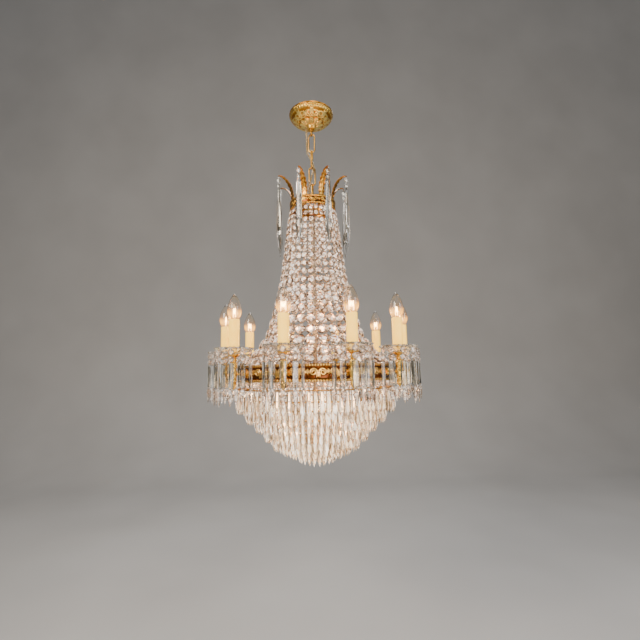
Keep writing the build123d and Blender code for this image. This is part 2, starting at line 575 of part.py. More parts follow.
def make_bulb():
    """A clear candle bulb: screw cap, hollow glass flame, glass foot and its filament."""
    cap_top = BULB_FOOT + CAP_LENGTH
    cap = CAP_DIAMETER / 2
    body = turned([(0, BULB_FOOT), (3, BULB_FOOT), (cap - 2, BULB_FOOT + 3), (cap, BULB_FOOT + 5), (cap, cap_top),
                   (0, cap_top)])
    tall = BULB_TIP - cap_top
    wide = BULB_DIAMETER / 2
    flame = [(0.40, 0.0), (0.45, 0.06), (0.72, 0.18), (0.93, 0.30), (1.0, 0.42), (0.965, 0.54), (0.84, 0.67),
             (0.62, 0.80), (0.34, 0.92), (0.1, 1.0)]
    outside = [(wide * share, cap_top + tall * rise) for share, rise in flame]
    inside = [(radius - BULB_GLASS, height) for radius, height in outside[1:-1]]
    last = outside[-1][1]
    glass = turned([(0, cap_top)] + outside + [(0, last), (0, last - 3 * BULB_GLASS)] + inside[::-1]
                   + [(0, inside[0][1])])
    foot = inside[0][1]
    mast = turned([(0, foot), (2.6, foot), (1.2, foot + 0.22 * tall), (0, foot + 0.22 * tall)])
    coil_z = foot + 0.22 * tall + 1
    filament = Pos(0, 0, coil_z) * Box(10, 1, 1)
    return [body.solid(), glass.solid(), mast.solid(), filament.solid()]


# --- strings of prisms under the bobeches ------------------------------------------------------------
def make_strings():
    """Two octagons, a baguette and a pointed drop on each string, made at the front of the front candle."""
    hook = STEM_TOP + 0.34 * BOBECHE_DEPTH + (0.66 * BOBECHE_DEPTH - BOBECHE_GLASS) * (
        (STRING_RADIUS - 34) / (BOBECHE_RADIUS - 34))
    top = hook - SEAT
    width, depth, length = BAGUETTE
    stones, bars, drops, clips = [], [], [], []
    half = STRING_OCTAGON / 2
    for _ in range(2):
        stones.append(Pos(0, 0, top - half) * octagon(STRING_OCTAGON))
        top -= STRING_OCTAGON
        clips.append(Pos(0, 0, top - STRING_CLIP / 2) * clip(STRING_CLIP))
        top -= STRING_CLIP
    bar = box_between((-width / 2, -depth / 2, top - length), (width / 2, depth / 2, top))
    bars.append(chamfer(bar.edges().group_by(Axis.Z)[-1] + bar.edges().group_by(Axis.Z)[0], 1.5).solid())
    top -= length
    clips.append(Pos(0, 0, top - STRING_CLIP / 2) * clip(STRING_CLIP))
    top -= STRING_CLIP
    drops.append(Pos(0, 0, top) * cut_stone(
        [(-DROP_LENGTH, 1), (-0.24 * DROP_LENGTH, DROP_WIDTH), (0, 0.45 * DROP_WIDTH)], 4, DROP_FLATNESS))

    def everywhere(pieces):
        placed = []
        for piece in pieces:
            string = around(Pos(0, -STRING_RADIUS, 0) * piece, STRING_ANGLES)
            placed += [copy for one in string for copy in around(Pos(0, -CANDLE_RADIUS, 0) * one, CANDLE_ANGLES)]
        return placed

    save("pendant_octagons", everywhere(stones))
    save("pendant_baguettes", everywhere(bars))
    save("pendant_drops", everywhere(drops))
    return everywhere(clips)


# --- prism basket ------------------------------------------------------------------------------------
def make_basket():
    girdles = [(-PRISM_LENGTH, 1), (-0.76 * PRISM_LENGTH, PRISM_WIDTH), (-0.05 * PRISM_LENGTH, 0.62 * PRISM_WIDTH),
               (0, 0.3 * PRISM_WIDTH)]
    prism = cut_stone(girdles, 4, PRISM_DEPTH / PRISM_WIDTH)
    groups = {"prisms_outer": [], "prisms_middle": [], "prisms_inner": []}
    hoops = []
    rib_line = []
    for number, (radius, drop, most) in enumerate(TIERS):
        count = min(most, int(2 * pi * radius / PRISM_PITCH))
        top = HOOP_TOP - drop
        deep = HOOP_HEIGHT if number == 0 else WIRE_HOOP
        base = HOOP_TOP - HOOP_HEIGHT - drop
        hoops.append(turned([(radius - HOOP_WIDTH / 2, base), (radius + HOOP_WIDTH / 2, base),
                             (radius + HOOP_WIDTH / 2, base + deep), (radius - HOOP_WIDTH / 2, base + deep)]).solid())
        name = list(groups)[min(number // 3, 2)]
        groups[name] += around(Pos(0, -radius, base - SEAT) * prism, evenly(count, 180.0 / count))
        inside = radius - HOOP_WIDTH / 2 - SEAT
        rib_line += [(inside, base + deep + SEAT), (inside, base)]
    save("tier_hoops", hoops)
    for name, prisms in groups.items():
        save(name, prisms)

    plate_top = rib_line[-1][1]
    hub = TUBE_DIAMETER / 2 + ROD_HOLE_CLEARANCE
    inside_balls = TIERS[0][0] - BALL_DIAMETER / 2 - 2 * SEAT
    outer = [(inside_balls, BAND_BOTTOM), (inside_balls, HOOP_TOP)] + rib_line[1:-1]
    outer.append((PLATE_RADIUS + SEAT, plate_top))
    inner = [(radius - RIB_DEPTH, height + 0.4 * RIB_DEPTH) for radius, height in rib_line[1:-2:2]]
    inner = [(inside_balls - RIB_DEPTH, BAND_BOTTOM)] + inner + [(PLATE_RADIUS + SEAT, plate_top + RIB_DEPTH)]
    outline = [(0, -radius, height) for radius, height in outer + inner[::-1]]
    rib = extrude(make_face(Polyline(*outline, close=True)), RIB_THICKNESS / 2, both=True).solid()
    save("basket_ribs", around(rib, evenly(RIB_COUNT, 180.0 / RIB_COUNT)))
    plate = Pos(0, 0, plate_top + RIB_DEPTH / 2) * Cylinder(PLATE_RADIUS, RIB_DEPTH + PLATE_THICKNESS)
    save("bottom_plate", plate - Pos(0, 0, plate_top) * Cylinder(hub, 8 * PLATE_THICKNESS))


os.makedirs("parts", exist_ok=True)
make_ceiling()
make_chain()
make_cable()
make_crown()
tent_clips = make_tent()
make_band()
make_candles()
save("crystal_clips", tent_clips + make_strings())
make_basket()
print("hinges of the chain", [round(height, 2) for height in HINGE_HEIGHTS])
print("crown band", round(CROWN_TOP, 2), "main band", round(BAND_TOP, 2), "sleeves", round(SLEEVE_TOP, 2))
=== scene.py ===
"""Looks of the crystal basket chandelier: gilt cast brass, cut crystal, pressed glass and lit candle bulbs.

Lengths are written in millimetres and turned to metres where a mesh is made. A piece is shaped at the front,
which is -Y, and then turned round Z to its places. A mesh is (points, faces, relief). Its relief is kept with
its points for the materials: 1 on a casting's crest or inside a stone, 0 in a hollow or at a stone's edge.
"""

from math import atan2, cos, degrees, hypot, pi, radians, sin

import bmesh
import bpy
import numpy as np
from mathutils import Matrix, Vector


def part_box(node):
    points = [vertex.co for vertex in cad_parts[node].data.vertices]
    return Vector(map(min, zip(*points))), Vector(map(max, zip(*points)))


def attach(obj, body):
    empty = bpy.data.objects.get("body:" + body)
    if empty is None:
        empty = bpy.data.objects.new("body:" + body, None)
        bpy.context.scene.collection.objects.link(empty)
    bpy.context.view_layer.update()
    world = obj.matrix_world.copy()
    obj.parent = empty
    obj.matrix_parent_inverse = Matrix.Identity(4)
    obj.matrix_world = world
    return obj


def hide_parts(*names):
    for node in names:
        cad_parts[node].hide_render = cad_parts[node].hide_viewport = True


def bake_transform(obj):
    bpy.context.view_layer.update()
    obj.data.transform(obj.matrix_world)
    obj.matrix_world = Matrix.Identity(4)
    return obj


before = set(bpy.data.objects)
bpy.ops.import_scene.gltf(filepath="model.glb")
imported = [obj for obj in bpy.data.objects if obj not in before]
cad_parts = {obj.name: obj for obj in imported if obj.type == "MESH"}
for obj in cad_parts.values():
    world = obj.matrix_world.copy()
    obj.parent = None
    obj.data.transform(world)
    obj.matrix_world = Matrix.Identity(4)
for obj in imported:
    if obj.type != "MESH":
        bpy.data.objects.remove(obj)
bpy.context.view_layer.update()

MM = 0.001
SEAT = 0.3                  # air between two pieces that rest on each other
PLAIN = 0.6                 # relief of a surface with no pattern of its own


def heights(node):
    """Bottom and top of a CAD node at rest, in millimetres."""
    return [round(end.z / MM, 2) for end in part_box(node)]


CROWN_BOTTOM, CROWN_TOP = heights("crown_band")
BAND_BOTTOM, BAND_TOP = heights("main_band")
BAND_MIDDLE = (BAND_BOTTOM + BAND_TOP) / 2
SLEEVE_FOOT, SLEEVE_TOP = heights("candle_sleeves")
BULB_FOOT, BULB_TIP = heights("candle_bulb_1")
DISH_GLASS = 4.0            # thickness of a drip dish at its middle
DISH_DEPTH = 16.0
STEM_TOP = SLEEVE_FOOT - DISH_GLASS
CANDLE_RADIUS = 250.0
CANDLE_ANGLES = [18 + 36 * k for k in range(10)]
PLUME_ANGLES = [22.5 + 45 * k for k in range(8)]


# --- camera, floor and lamps -------------------------------------------------------------------------
def set_camera():
    """The photograph's place and angle, from candle sleeves and rims fitted to it."""
    yaw, pitch, roll = radians(2.56), radians(8.01), radians(1.04)
    place = (-0.0352, -1.1406, -0.796)
    across = np.array([cos(yaw), -sin(yaw), 0.0])
    ahead = np.array([sin(yaw) * cos(pitch), cos(yaw) * cos(pitch), sin(pitch)])
    up = np.cross(across, ahead)
    right = cos(roll) * across - sin(roll) * up
    top = sin(roll) * across + cos(roll) * up
    data = bpy.data.cameras.new("photo_camera")
    data.lens = 22.72
    data.sensor_width = 36.0
    data.clip_start = 0.02
    camera = bpy.data.objects.new("photo_camera", data)
    bpy.context.scene.collection.objects.link(camera)
    camera.matrix_world = Matrix([[right[k], top[k], -ahead[k], place[k]] for k in range(3)] + [[0, 0, 0, 1]])
    bpy.context.scene.camera = camera


def soft_lamp(name, place, target, size, watts, tint):
    """A softbox at a place, turned to its target; lengths in metres."""
    data = bpy.data.lights.new(name, "AREA")
    data.shape = "RECTANGLE"
    data.size, data.size_y = size
    data.energy = watts
    data.color = linear(tint)[:3]
    lamp = bpy.data.objects.new(name, data)
    bpy.context.scene.collection.objects.link(lamp)
    back = np.array(place, float) - np.array(target, float)
    back /= np.linalg.norm(back)
    side = np.cross((0, 0, 1), back)
    side /= np.linalg.norm(side)
    over = np.cross(back, side)
    lamp.matrix_world = Matrix([[side[k], over[k], back[k], place[k]] for k in range(3)] + [[0, 0, 0, 1]])


def candle_light(name, place, watts):
    """The warm light of the lit candles, as it gathers in the middle of the crystals."""
    data = bpy.data.lights.new(name, "POINT")
    data.energy = watts
    data.shadow_soft_size = 0.03
    data.color = linear("#FFC58C")[:3]
    lamp = bpy.data.objects.new(name, data)
    lamp.location = place
    bpy.context.scene.collection.objects.link(lamp)


def make_stage():
    """A plain pale floor that curves up behind the object; lengths in metres."""
    level, half_width, front, curve_start, curve, wall_top = -1.75, 14.0, -14.0, 2.6, 1.2, 8.0
    material, tree, shader, place = start_material("pale_floor", {"Roughness": 0.85})
    cloud = add(tree, "ShaderNodeTexNoise", links={"Vector": place},
                values={"Scale": 1.5, "Detail": 2.0}).outputs["Fac"]
    colour = add(tree, "ShaderNodeValToRGB", links={"Fac": cloud}, stops=[(0.3, "#C9C7C4"), (0.7, "#D2D0CD")])
    tree.links.new(colour.outputs["Color"], shader.inputs["Base Color"])
    line = [(front, level)]
    line += [(curve_start + curve * sin(a), level + curve * (1 - cos(a))) for a in np.linspace(0, pi / 2, 16)]
    line += [(curve_start + curve, wall_top)]
    points = [(x, y, z) for y, z in line for x in (-half_width, half_width)]
    faces = [(2 * k, 2 * k + 1, 2 * k + 3, 2 * k + 2) for k in range(len(line) - 1)]
    data = bpy.data.meshes.new("pale_floor")
    data.from_pydata(points, [], faces)
    data.polygons.foreach_set("use_smooth", [True] * len(data.polygons))
    data.materials.append(material)
    floor = bpy.data.objects.new("pale_floor", data)
    bpy.context.scene.collection.objects.link(floor)


# --- colours and nodes -------------------------------------------------------------------------------
def linear(code):
    """A linear colour from an sRGB hex value."""
    parts = [int(code[k:k + 2], 16) / 255 for k in (1, 3, 5)]
    return tuple(c / 12.92 if c <= 0.04045 else ((c + 0.055) / 1.055) ** 2.4 for c in parts) + (1.0,)


def add(tree, kind, links=None, values=None, stops=(), **settings):
    """Adds one node with its settings, fixed inputs, links and colour stops, each a (position, hex) pair."""
    made = tree.nodes.new(kind)
    for key, value in settings.items():
        setattr(made, key, value)
    for key, value in (values or {}).items():
        made.inputs[key].default_value = value
    for key, source in (links or {}).items():
        tree.links.new(source, made.inputs[key])
    for k, (position, code) in enumerate(stops):
        elements = made.color_ramp.elements
        element = elements[k] if k < len(elements) else elements.new(position)
        element.position = position
        element.color = linear(code)
    return made


def start_material(name, values):
    """A new material with its shader, and its object coordinates in metres."""
    material = bpy.data.materials.new(name)
    material.use_nodes = True
    tree = material.node_tree
    tree.nodes.clear()
    shader = add(tree, "ShaderNodeBsdfPrincipled", values=values)
    add(tree, "ShaderNodeOutputMaterial", links={"Surface": shader.outputs["BSDF"]})
    return material, tree, shader, add(tree, "ShaderNodeTexCoord").outputs["Object"]


def per_metre(size_mm):
    """Texture scale for a pattern whose features are that many millimetres apart."""
    return 1.0 / (size_mm * MM)


def surface(tree, shader, tint, stops, polish, roughness, grain, strength, depth):
    """Joins a finish to its shader: colours by tint, roughness by polish, and a bump from the grain."""
    colour = add(tree, "ShaderNodeValToRGB", links={"Fac": tint}, stops=stops)
    spread = add(tree, "ShaderNodeMapRange", links={"Value": polish},
                 values={"To Min": roughness[0], "To Max": roughness[1]})
    bump = add(tree, "ShaderNodeBump", links={"Height": grain},
               values={"Strength": strength, "Distance": depth})
    tree.links.new(colour.outputs["Color"], shader.inputs["Base Color"])
    tree.links.new(spread.outputs["Result"], shader.inputs["Roughness"])
    tree.links.new(bump.outputs["Normal"], shader.inputs["Normal"])


def gilt_casting(name, hollow, middle, crest, roughness):
    """Cast and gilt brass, lacquered: bright on the crests of its relief, with patina left in the hollows."""
    material, tree, shader, place = start_material(
        name, {"Metallic": 1.0, "Coat Weight": 0.25, "Coat Roughness": 0.08})
    relief = add(tree, "ShaderNodeAttribute", attribute_name="relief").outputs["Fac"]
    cloud = add(tree, "ShaderNodeTexNoise", links={"Vector": place},
                values={"Scale": per_metre(9), "Detail": 4.0}).outputs["Fac"]
    mixed = add(tree, "ShaderNodeMath", operation="MULTIPLY_ADD",
                links={0: cloud}, values={1: 0.35, 2: -0.17}).outputs[0]
    height = add(tree, "ShaderNodeMath", operation="ADD", links={0: relief, 1: mixed},
                 use_clamp=True).outputs[0]
    grain = add(tree, "ShaderNodeTexNoise", links={"Vector": place},
                values={"Scale": per_metre(0.9), "Detail": 3.0}).outputs["Fac"]
    surface(tree, shader, height, [(0.0, hollow), (0.42, middle), (1.0, crest)],
            cloud, (roughness - 0.06, roughness + 0.08), grain, 0.12, 0.0002)
    return material


def polished_metal(name, low, high, roughness, grain_mm):
    """Polished or drawn metal: faint wear, and a little tarnish in clouds."""
    material, tree, shader, place = start_material(name, {"Metallic": 1.0})
    cloud = add(tree, "ShaderNodeTexNoise", links={"Vector": place},
                values={"Scale": per_metre(14), "Detail": 3.0}).outputs["Fac"]
    wear = add(tree, "ShaderNodeTexNoise", links={"Vector": place},
               values={"Scale": per_metre(grain_mm), "Detail": 2.0}).outputs["Fac"]
    surface(tree, shader, cloud, [(0.3, low), (0.7, high)], cloud, (roughness - 0.05, roughness + 0.07),
            wear, 0.08, 0.0001)
    return material


def clear_glass(name, low, high, ior, roughness, wave_mm, wave, glow=None):
    """Blown glass or clear plastic: a faint tint in clouds, and a slight wave left by its making.

    With a glow, it is given a painted glow of the light inside where its relief attribute is high.
    """
    material, tree, shader, place = start_material(name, {"Transmission Weight": 1.0, "IOR": ior})
    cloud = add(tree, "ShaderNodeTexNoise", links={"Vector": place},
                values={"Scale": per_metre(22), "Detail": 2.0}).outputs["Fac"]
    ripple = add(tree, "ShaderNodeTexNoise", links={"Vector": place},
                 values={"Scale": per_metre(wave_mm), "Detail": 1.0}).outputs["Fac"]
    surface(tree, shader, cloud, [(0.35, low), (0.65, high)], cloud, (roughness, roughness + 0.03),
            ripple, wave, 0.0004)
    if glow:
        near_wire = add(tree, "ShaderNodeAttribute", attribute_name="relief").outputs["Fac"]
        light = add(tree, "ShaderNodeValToRGB", links={"Fac": near_wire},
                    stops=[(0.0, "#000000"), (0.5, "#5A3000"), (1.0, glow)])
        tree.links.new(light.outputs["Color"], shader.inputs["Emission Color"])
        shader.inputs["Emission Strength"].default_value = 0.8
    return material


def cut_crystal(name, painted_facet_tones, painted_glint_tint, ior, clear, painted_glint_strength, facet_mm, tall=1.0):
    """Cut or pressed lead crystal with painted light: each facet is painted with its share of the room and
    candles.

    A cell pattern of the size of a facet gives each a painted tone from shade to white, and the brightest a
    painted glint that glows. The relief attribute is low at a stone's edge, where the colour is darkened as
    painted shade.
    """
    material, tree, shader, place = start_material(
        name, {"Transmission Weight": clear, "IOR": ior, "Emission Strength": painted_glint_strength})
    laid = add(tree, "ShaderNodeMapping", links={"Vector": place},
               values={"Scale": (1.0, 1.0, 1.0 / tall)}).outputs["Vector"]
    cell = add(tree, "ShaderNodeTexVoronoi", links={"Vector": laid},
               values={"Scale": per_metre(facet_mm)}).outputs["Color"]
    facet = add(tree, "ShaderNodeSeparateColor", links={"Color": cell}).outputs["Red"]
    inward = add(tree, "ShaderNodeAttribute", attribute_name="relief").outputs["Fac"]
    # painted shade: the colour darkens towards a stone's edge
    edge = add(tree, "ShaderNodeMath", operation="MULTIPLY_ADD", links={0: inward},
               values={1: 0.62, 2: -0.36}).outputs[0]
    level = add(tree, "ShaderNodeMath", operation="MULTIPLY_ADD", links={0: facet, 2: edge}, values={1: 0.84},
                use_clamp=True).outputs[0]
    polish = add(tree, "ShaderNodeTexNoise", links={"Vector": place},
                 values={"Scale": per_metre(9), "Detail": 1.0}).outputs["Fac"]
    surface(tree, shader, level, [(k / (len(painted_facet_tones) - 1), tint) for k, tint in enumerate(painted_facet_tones)],
            polish, (0.0, 0.03), polish, 0.03, 0.0004)
    # painted glints: the brightest facets glow in the emission colour
    light = add(tree, "ShaderNodeValToRGB", links={"Fac": level},
                stops=[(0.35, "#000000"), (0.6, painted_glint_tint), (1.0, "#FFFFFF")])
    tree.links.new(light.outputs["Color"], shader.inputs["Emission Color"])
    return material


def moulded_plastic(name, low, high, roughness, grain_mm, extra):
    """Moulded plastic: a fine grain from the mould, and a slightly uneven colour."""
    material, tree, shader, place = start_material(name, extra)
    cloud = add(tree, "ShaderNodeTexNoise", links={"Vector": place},
                values={"Scale": per_metre(18), "Detail": 3.0}).outputs["Fac"]
    grain = add(tree, "ShaderNodeTexNoise", links={"Vector": place},
                values={"Scale": per_metre(grain_mm), "Detail": 2.0}).outputs["Fac"]
    surface(tree, shader, cloud, [(0.3, low), (0.7, high)], cloud, (roughness - 0.05, roughness + 0.05),
            grain, 0.15, 0.0001)
    return material


def glowing_wire():
    """A tungsten filament at work: a warm white glow that is a little uneven along the coil."""
    material, tree, shader, place = start_material(
        "tungsten_filament", {"Emission Strength": 60.0, "Roughness": 0.4})
    uneven = add(tree, "ShaderNodeTexNoise", links={"Vector": place},
                 values={"Scale": per_metre(3)}).outputs["Fac"]
    light = add(tree, "ShaderNodeValToRGB", links={"Fac": uneven}, stops=[(0.2, "#FFB45E"), (0.8, "#FFD9A0")])
    tree.links.new(light.outputs["Color"], shader.inputs["Emission Color"])
    return material


# --- mesh code ---------------------------------------------------------------------------------------
def rotated(points, angle):
    """Points turned round Z by an angle in degrees."""
    c, s = cos(radians(angle)), sin(radians(angle))
    return points @ np.array([[c, s, 0], [-s, c, 0], [0, 0, 1]])


def tilted(points, angle):
    """Points turned round X by an angle in degrees."""
    c, s = cos(radians(angle)), sin(radians(angle))
    return points @ np.array([[1, 0, 0], [0, c, s], [0, -s, c]])


def joined(meshes):
    """One mesh from several."""
    points, faces, relief, start = [], [], [], 0
    for mesh_points, mesh_faces, mesh_relief in meshes:
        points.append(mesh_points)
        relief.append(mesh_relief)
        faces += [[corner + start for corner in face] for face in mesh_faces]
        start += len(mesh_points)
    return np.vstack(points), faces, np.concatenate(relief)


def round_about(mesh, angles):
    """Copies of a mesh made at the front, at each angle."""
    return joined([(rotated(mesh[0], angle), mesh[1], mesh[2]) for angle in angles])


def moved(mesh, x, y, z):
    """A mesh moved by a distance."""
    return mesh[0] + np.array([x, y, z]), mesh[1], mesh[2]


def circle(count):
    """Evenly spaced angles, in radians."""
    return np.linspace(0, 2 * pi, count, endpoint=False)


def corners(count, radius, height, turn=0.0):
    """A ring of corners in the XY plane."""
    steps = [2 * pi * (j + turn) / count for j in range(count)]
    return [(radius * cos(a), radius * sin(a), height) for a in steps]


def ring_mesh(rings, capped=True, looped=False):
    """Faces between rings of points; the first and last ring are closed, or joined to each other."""
    rings = [np.asarray(ring, float) for ring in rings]
    count = len(rings[0])
    faces = []
    for k in range(len(rings) if looped else len(rings) - 1):
        low, high = k * count, ((k + 1) % len(rings)) * count
        for j in range(count):
            i = (j + 1) % count
            faces.append([low + j, low + i, high + i, high + j])
    if capped and not looped:
        faces += [list(range(count))[::-1], [(len(rings) - 1) * count + j for j in range(count)]]
    points = np.vstack(rings)
    return points, faces, np.full(len(points), PLAIN)


def stone(rings):
    """A cut stone: rings of corners joined with triangles, so that neighbouring facets catch light apart."""
    points, _, relief = ring_mesh(rings, capped=False)
    count = len(rings[0])
    faces = [list(range(count))[::-1], [(len(rings) - 1) * count + j for j in range(count)]]
    for k in range(len(rings) - 1):
        low, high = k * count, (k + 1) * count
        for j in range(count):
            i = (j + 1) % count
            faces += [[low + j, low + i, high + j], [low + i, high + i, high + j]]
    return points, faces, relief


def lathe(profile, steps, relief=None):
    """A turned piece from a closed (radius, height) outline.

    Relief takes and gives its radii, heights and angles, to raise a pattern on it and say where it is high.
    """
    radius = np.array([r for r, _ in profile], float)[:, None].repeat(steps, 1)
    height = np.array([z for _, z in profile], float)[:, None].repeat(steps, 1)
    angle = circle(steps)[None, :].repeat(len(profile), 0)
    level = np.full(radius.shape, PLAIN)
    if relief:
        radius, height, level = relief(radius, height, angle)
    points = np.stack([radius * np.sin(angle), -radius * np.cos(angle), height], -1)
    mesh = ring_mesh(list(points), looped=True)
    return mesh[0], mesh[1], level.reshape(-1)


def smooth_line(points, per_run):
    """A smooth line through points, with so many steps in each run."""
    p = np.array([points[0]] + list(points) + [points[-1]], float)
    line = []
    for k in range(1, len(p) - 2):
        for t in np.linspace(0, 1, per_run, endpoint=False):
            a = 2 * p[k]
            b = p[k + 1] - p[k - 1]
            c = 2 * p[k - 1] - 5 * p[k] + 4 * p[k + 1] - p[k + 2]
            d = 3 * p[k] - p[k - 1] - 3 * p[k + 1] + p[k + 2]
            line.append((a + b * t + c * t * t + d * t ** 3) / 2)
    line.append(p[-1])
    return line


def fine(outline, step, face=None):
    """A closed outline with points about a step apart, on every run or only along a face's radius."""
    points = []
    for (r0, z0), (r1, z1) in zip(outline, outline[1:] + outline[:1]):
        split = face is None or r0 == r1 == face
        count = max(1, int(hypot(r1 - r0, z1 - z0) / step)) if split else 1
        points += [(r0 + (r1 - r0) * k / count, z0 + (z1 - z0) * k / count) for k in range(count)]
    return points


def tube(line, radius, sides=8):
    """A round wire along a line of points."""
    line = np.asarray(line, float)
    along = np.gradient(line, axis=0)
    along /= np.linalg.norm(along, axis=1)[:, None]
    guide = np.array([0.0, 1.0, 0.0]) if abs(along[0][1]) < 0.9 else np.array([1.0, 0.0, 0.0])
    rings = []
    for place, way in zip(line, along):
        side = np.cross(way, guide)
        side /= np.linalg.norm(side)
        guide = np.cross(side, way)
        rings.append([place + radius * (cos(a) * side + sin(a) * guide) for a in circle(sides)])
    return ring_mesh(rings)


def near(value, middle, reach):
    """1 at a middle, falling to 0 at its reach."""
    return np.clip(1 - np.abs(value - middle) / reach, 0, 1)


def past(value, start, run):
    """0 up to a start, rising to 1 over a run."""
    return np.clip((value - start) / run, 0, 1)


def make(name, mesh, material, body, nodes=(), smooth=True):
    """The object of a mesh: faces turned outwards, its material set, and riding on its CAD body if given."""
    points, faces, relief = mesh
    data = bpy.data.meshes.new(name)
    data.from_pydata((points * MM).tolist(), [], faces)
    data.attributes.new("relief", "FLOAT", "POINT").data.foreach_set("value", relief.astype(np.float32))
    build = bmesh.new()
    build.from_mesh(data)
    bmesh.ops.recalc_face_normals(build, faces=build.faces)
    build.to_mesh(data)
    build.free()
    data.polygons.foreach_set("use_smooth", [smooth] * len(data.polygons))
    data.materials.append(material)
    obj = bpy.data.objects.new(name, data)
    bpy.context.scene.collection.objects.link(obj)
    if body:
        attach(obj, body)
    if nodes:
        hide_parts(*nodes)
    return obj


def carry(material, *names):
    """Gives CAD pieces whose shape is right their finish."""
    for name in names:
        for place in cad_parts[name].material_slots:
            place.material = material


# --- cable -------------------------------------------------------------------------------------------
CHAIN_TURN = -12.0          # the first link's plane, turned from the front view, in degrees
HINGES = [-69.0, -122.4, -175.7, -229.0, -282.3]        # heights where the chain's links touch
CABLE_ROUTE = [(-16.0, 0.0, -34.0), (-16.0, 0.0, -57.0), (-14.7, 0.0, -81.0), (-14.5, -0.6, -104.4),
               (-13.7, -3.0, -124.4), (0.4, 0.8, -149.05), (7.6, -7.4, -179.7), (-0.6, -7.0, -202.35),
               (-8.6, -6.4, -231.0), (-8.8, -4.6, -255.65), (-7.6, -5.6, -283.3), (-7.0, -5.8, -294.6)]


def cable_line():
    """Points of the smooth spline through the cable's route."""
    curve = bpy.data.curves.new("route", "CURVE")
    curve.dimensions = "3D"
    curve.resolution_u = 24
    spline = curve.splines.new("NURBS")
    spline.points.add(len(CABLE_ROUTE) - 1)
    for point, place in zip(spline.points, rotated(np.array(CABLE_ROUTE), CHAIN_TURN)):
        point.co = (*place, 1.0)
    spline.order_u = 3
    spline.use_endpoint_u = True
    holder = bpy.data.objects.new("route", curve)
    bpy.context.scene.collection.objects.link(holder)
    mesh = bpy.data.meshes.new_from_object(holder)
    line = np.array([vertex.co for vertex in mesh.vertices])
    bpy.data.objects.remove(holder)
    bpy.data.meshes.remove(mesh)
    return line


def make_cable(jacket, core):
    """Clear flex over two twisted cores, in stretches that each bend across one hinge of the chain."""
    jacket_radius, core_radius, core_offset, twist_length = 2.9, 1.15, 1.35, 17.0
    samples, overlap, bend, below = 420, 0.7, 12.0, -400.0
    line = cable_line()
    run = np.concatenate([[0], np.cumsum(np.linalg.norm(np.diff(line, axis=0), axis=1))])
    steps = np.linspace(0, run[-1], samples)
    line = np.stack([np.interp(steps, run, line[:, k]) for k in range(3)], -1)
    along = np.gradient(line, axis=0)
    along /= np.linalg.norm(along, axis=1)[:, None]
    side = np.cross(along, (0.0, 1.0, 0.0))
    side /= np.linalg.norm(side, axis=1)[:, None]
    over = np.cross(side, along)
    twist = 2 * pi * steps / twist_length
    nodes = ["cable_ceiling", "cable_link_1", "cable_link_2", "cable_link_3", "cable_link_4", "cable_crown"]
    cuts = [0.0] + [(a + b) / 2 for a, b in zip(HINGES, HINGES[1:])] + [below]
    for k, (top, bottom) in enumerate(zip(cuts, cuts[1:])):
        part = np.where((line[:, 2] <= top + overlap) & (line[:, 2] >= bottom - overlap))[0]
        pair = []
        for phase in (0.0, pi):
            turned = np.cos(twist + phase)[:, None] * side + np.sin(twist + phase)[:, None] * over
            pair.append(tube((line + core_offset * turned)[part], core_radius, 8))
        sheath = make(f"flex_jacket_{k + 1}", tube(line[part], jacket_radius, 14), jacket, None,
                      nodes[k:k + 1] + (nodes[5:] if k == 4 else []))
        cores = make(f"flex_cores_{k + 1}", joined(pair), core, None)
        for obj in (sheath, cores):
            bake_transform(obj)


# --- relief patterns ---------------------------------------------------------------------------------
def scroll_curves(length, height):
    """One repeat of a leaf scroll: two opposed spirals on stems, with palmettes of five leaves between them.

    Each curve is (x, y, width, crest), x along the band and y up it.
    """
    curves = []
    t = np.linspace(0, 1, 60)
    for mirror in (1, -1):
        radius = 0.36 * height * (1 - 0.78 * t)
        turn = pi * (1.0 - 3.1 * t)
        x = mirror * (0.23 * length) + mirror * radius * np.cos(turn)
        y = 0.06 * height + radius * np.sin(turn)
        curves.append((x, y, 0.085 * height * (1 - 0.35 * t), 1.0))
        x = mirror * (0.08 + 0.06 * t ** 2) * length
        curves.append((x, (0.5 * t - 0.42) * height, 0.05 * height + 0 * t, 0.8))
    for lean in (-0.9, -0.45, 0.0, 0.45, 0.9):
        reach = 0.42 * height * (1 - 0.25 * abs(lean))
        for centre, foot, way in ((0.0, -0.32, 1), (0.5, 0.3, -1), (-0.5, 0.3, -1)):
            x = centre * length + np.sin(lean * t) * reach * t
            y = foot * height + way * np.cos(lean) * reach * t
            curves.append((x, y, 0.062 * height * (1.15 - 0.5 * t), 0.85))
    return curves


def scroll_height(x, y, length, height, fatness=1.9):
    """Height of the scroll relief, 0 to 1, at places x along and y across the band's middle."""
    x = (x + length / 2) % length - length / 2
    level = np.zeros(x.shape)
    for curve_x, curve_y, width, crest in scroll_curves(length, height):
        for px, py, pw in zip(curve_x[::2], curve_y[::2], width[::2]):
            gap = (x - px) ** 2 + (y - py) ** 2
            level = np.maximum(level, crest * np.clip(1.25 - gap / (pw * pw * fatness), 0, 1))
    return level


def band_relief(face, middle, height, repeats, depth, steps, beads):
    """Relief for a band: scrolls on its face, and a row of beads on the mouldings that stand proud of it."""
    plain, bead_foot, bead_depth = 0.3, 0.35, 0.9

    def shape(radius, level_z, angle):
        on_face = np.abs(radius - face) < 0.05
        one = slice(0, steps // repeats)
        x = angle[:, one] * face
        y = level_z[:, one] - middle
        inside = (np.abs(y) < height / 2) & on_face[:, one]
        pattern = scroll_height(x, y, 2 * pi * face / repeats, height)
        scroll = np.tile(np.where(inside, pattern, 0.0), (1, repeats))
        proud = radius > face + 0.5
        bead = np.abs(np.cos(angle * beads / 2))
        level = np.where(proud, bead_foot + (1 - bead_foot) * bead, np.where(on_face, scroll, plain))
        return radius + depth * scroll - np.where(proud, bead_depth * (1 - bead), 0), level_z, level
    return shape


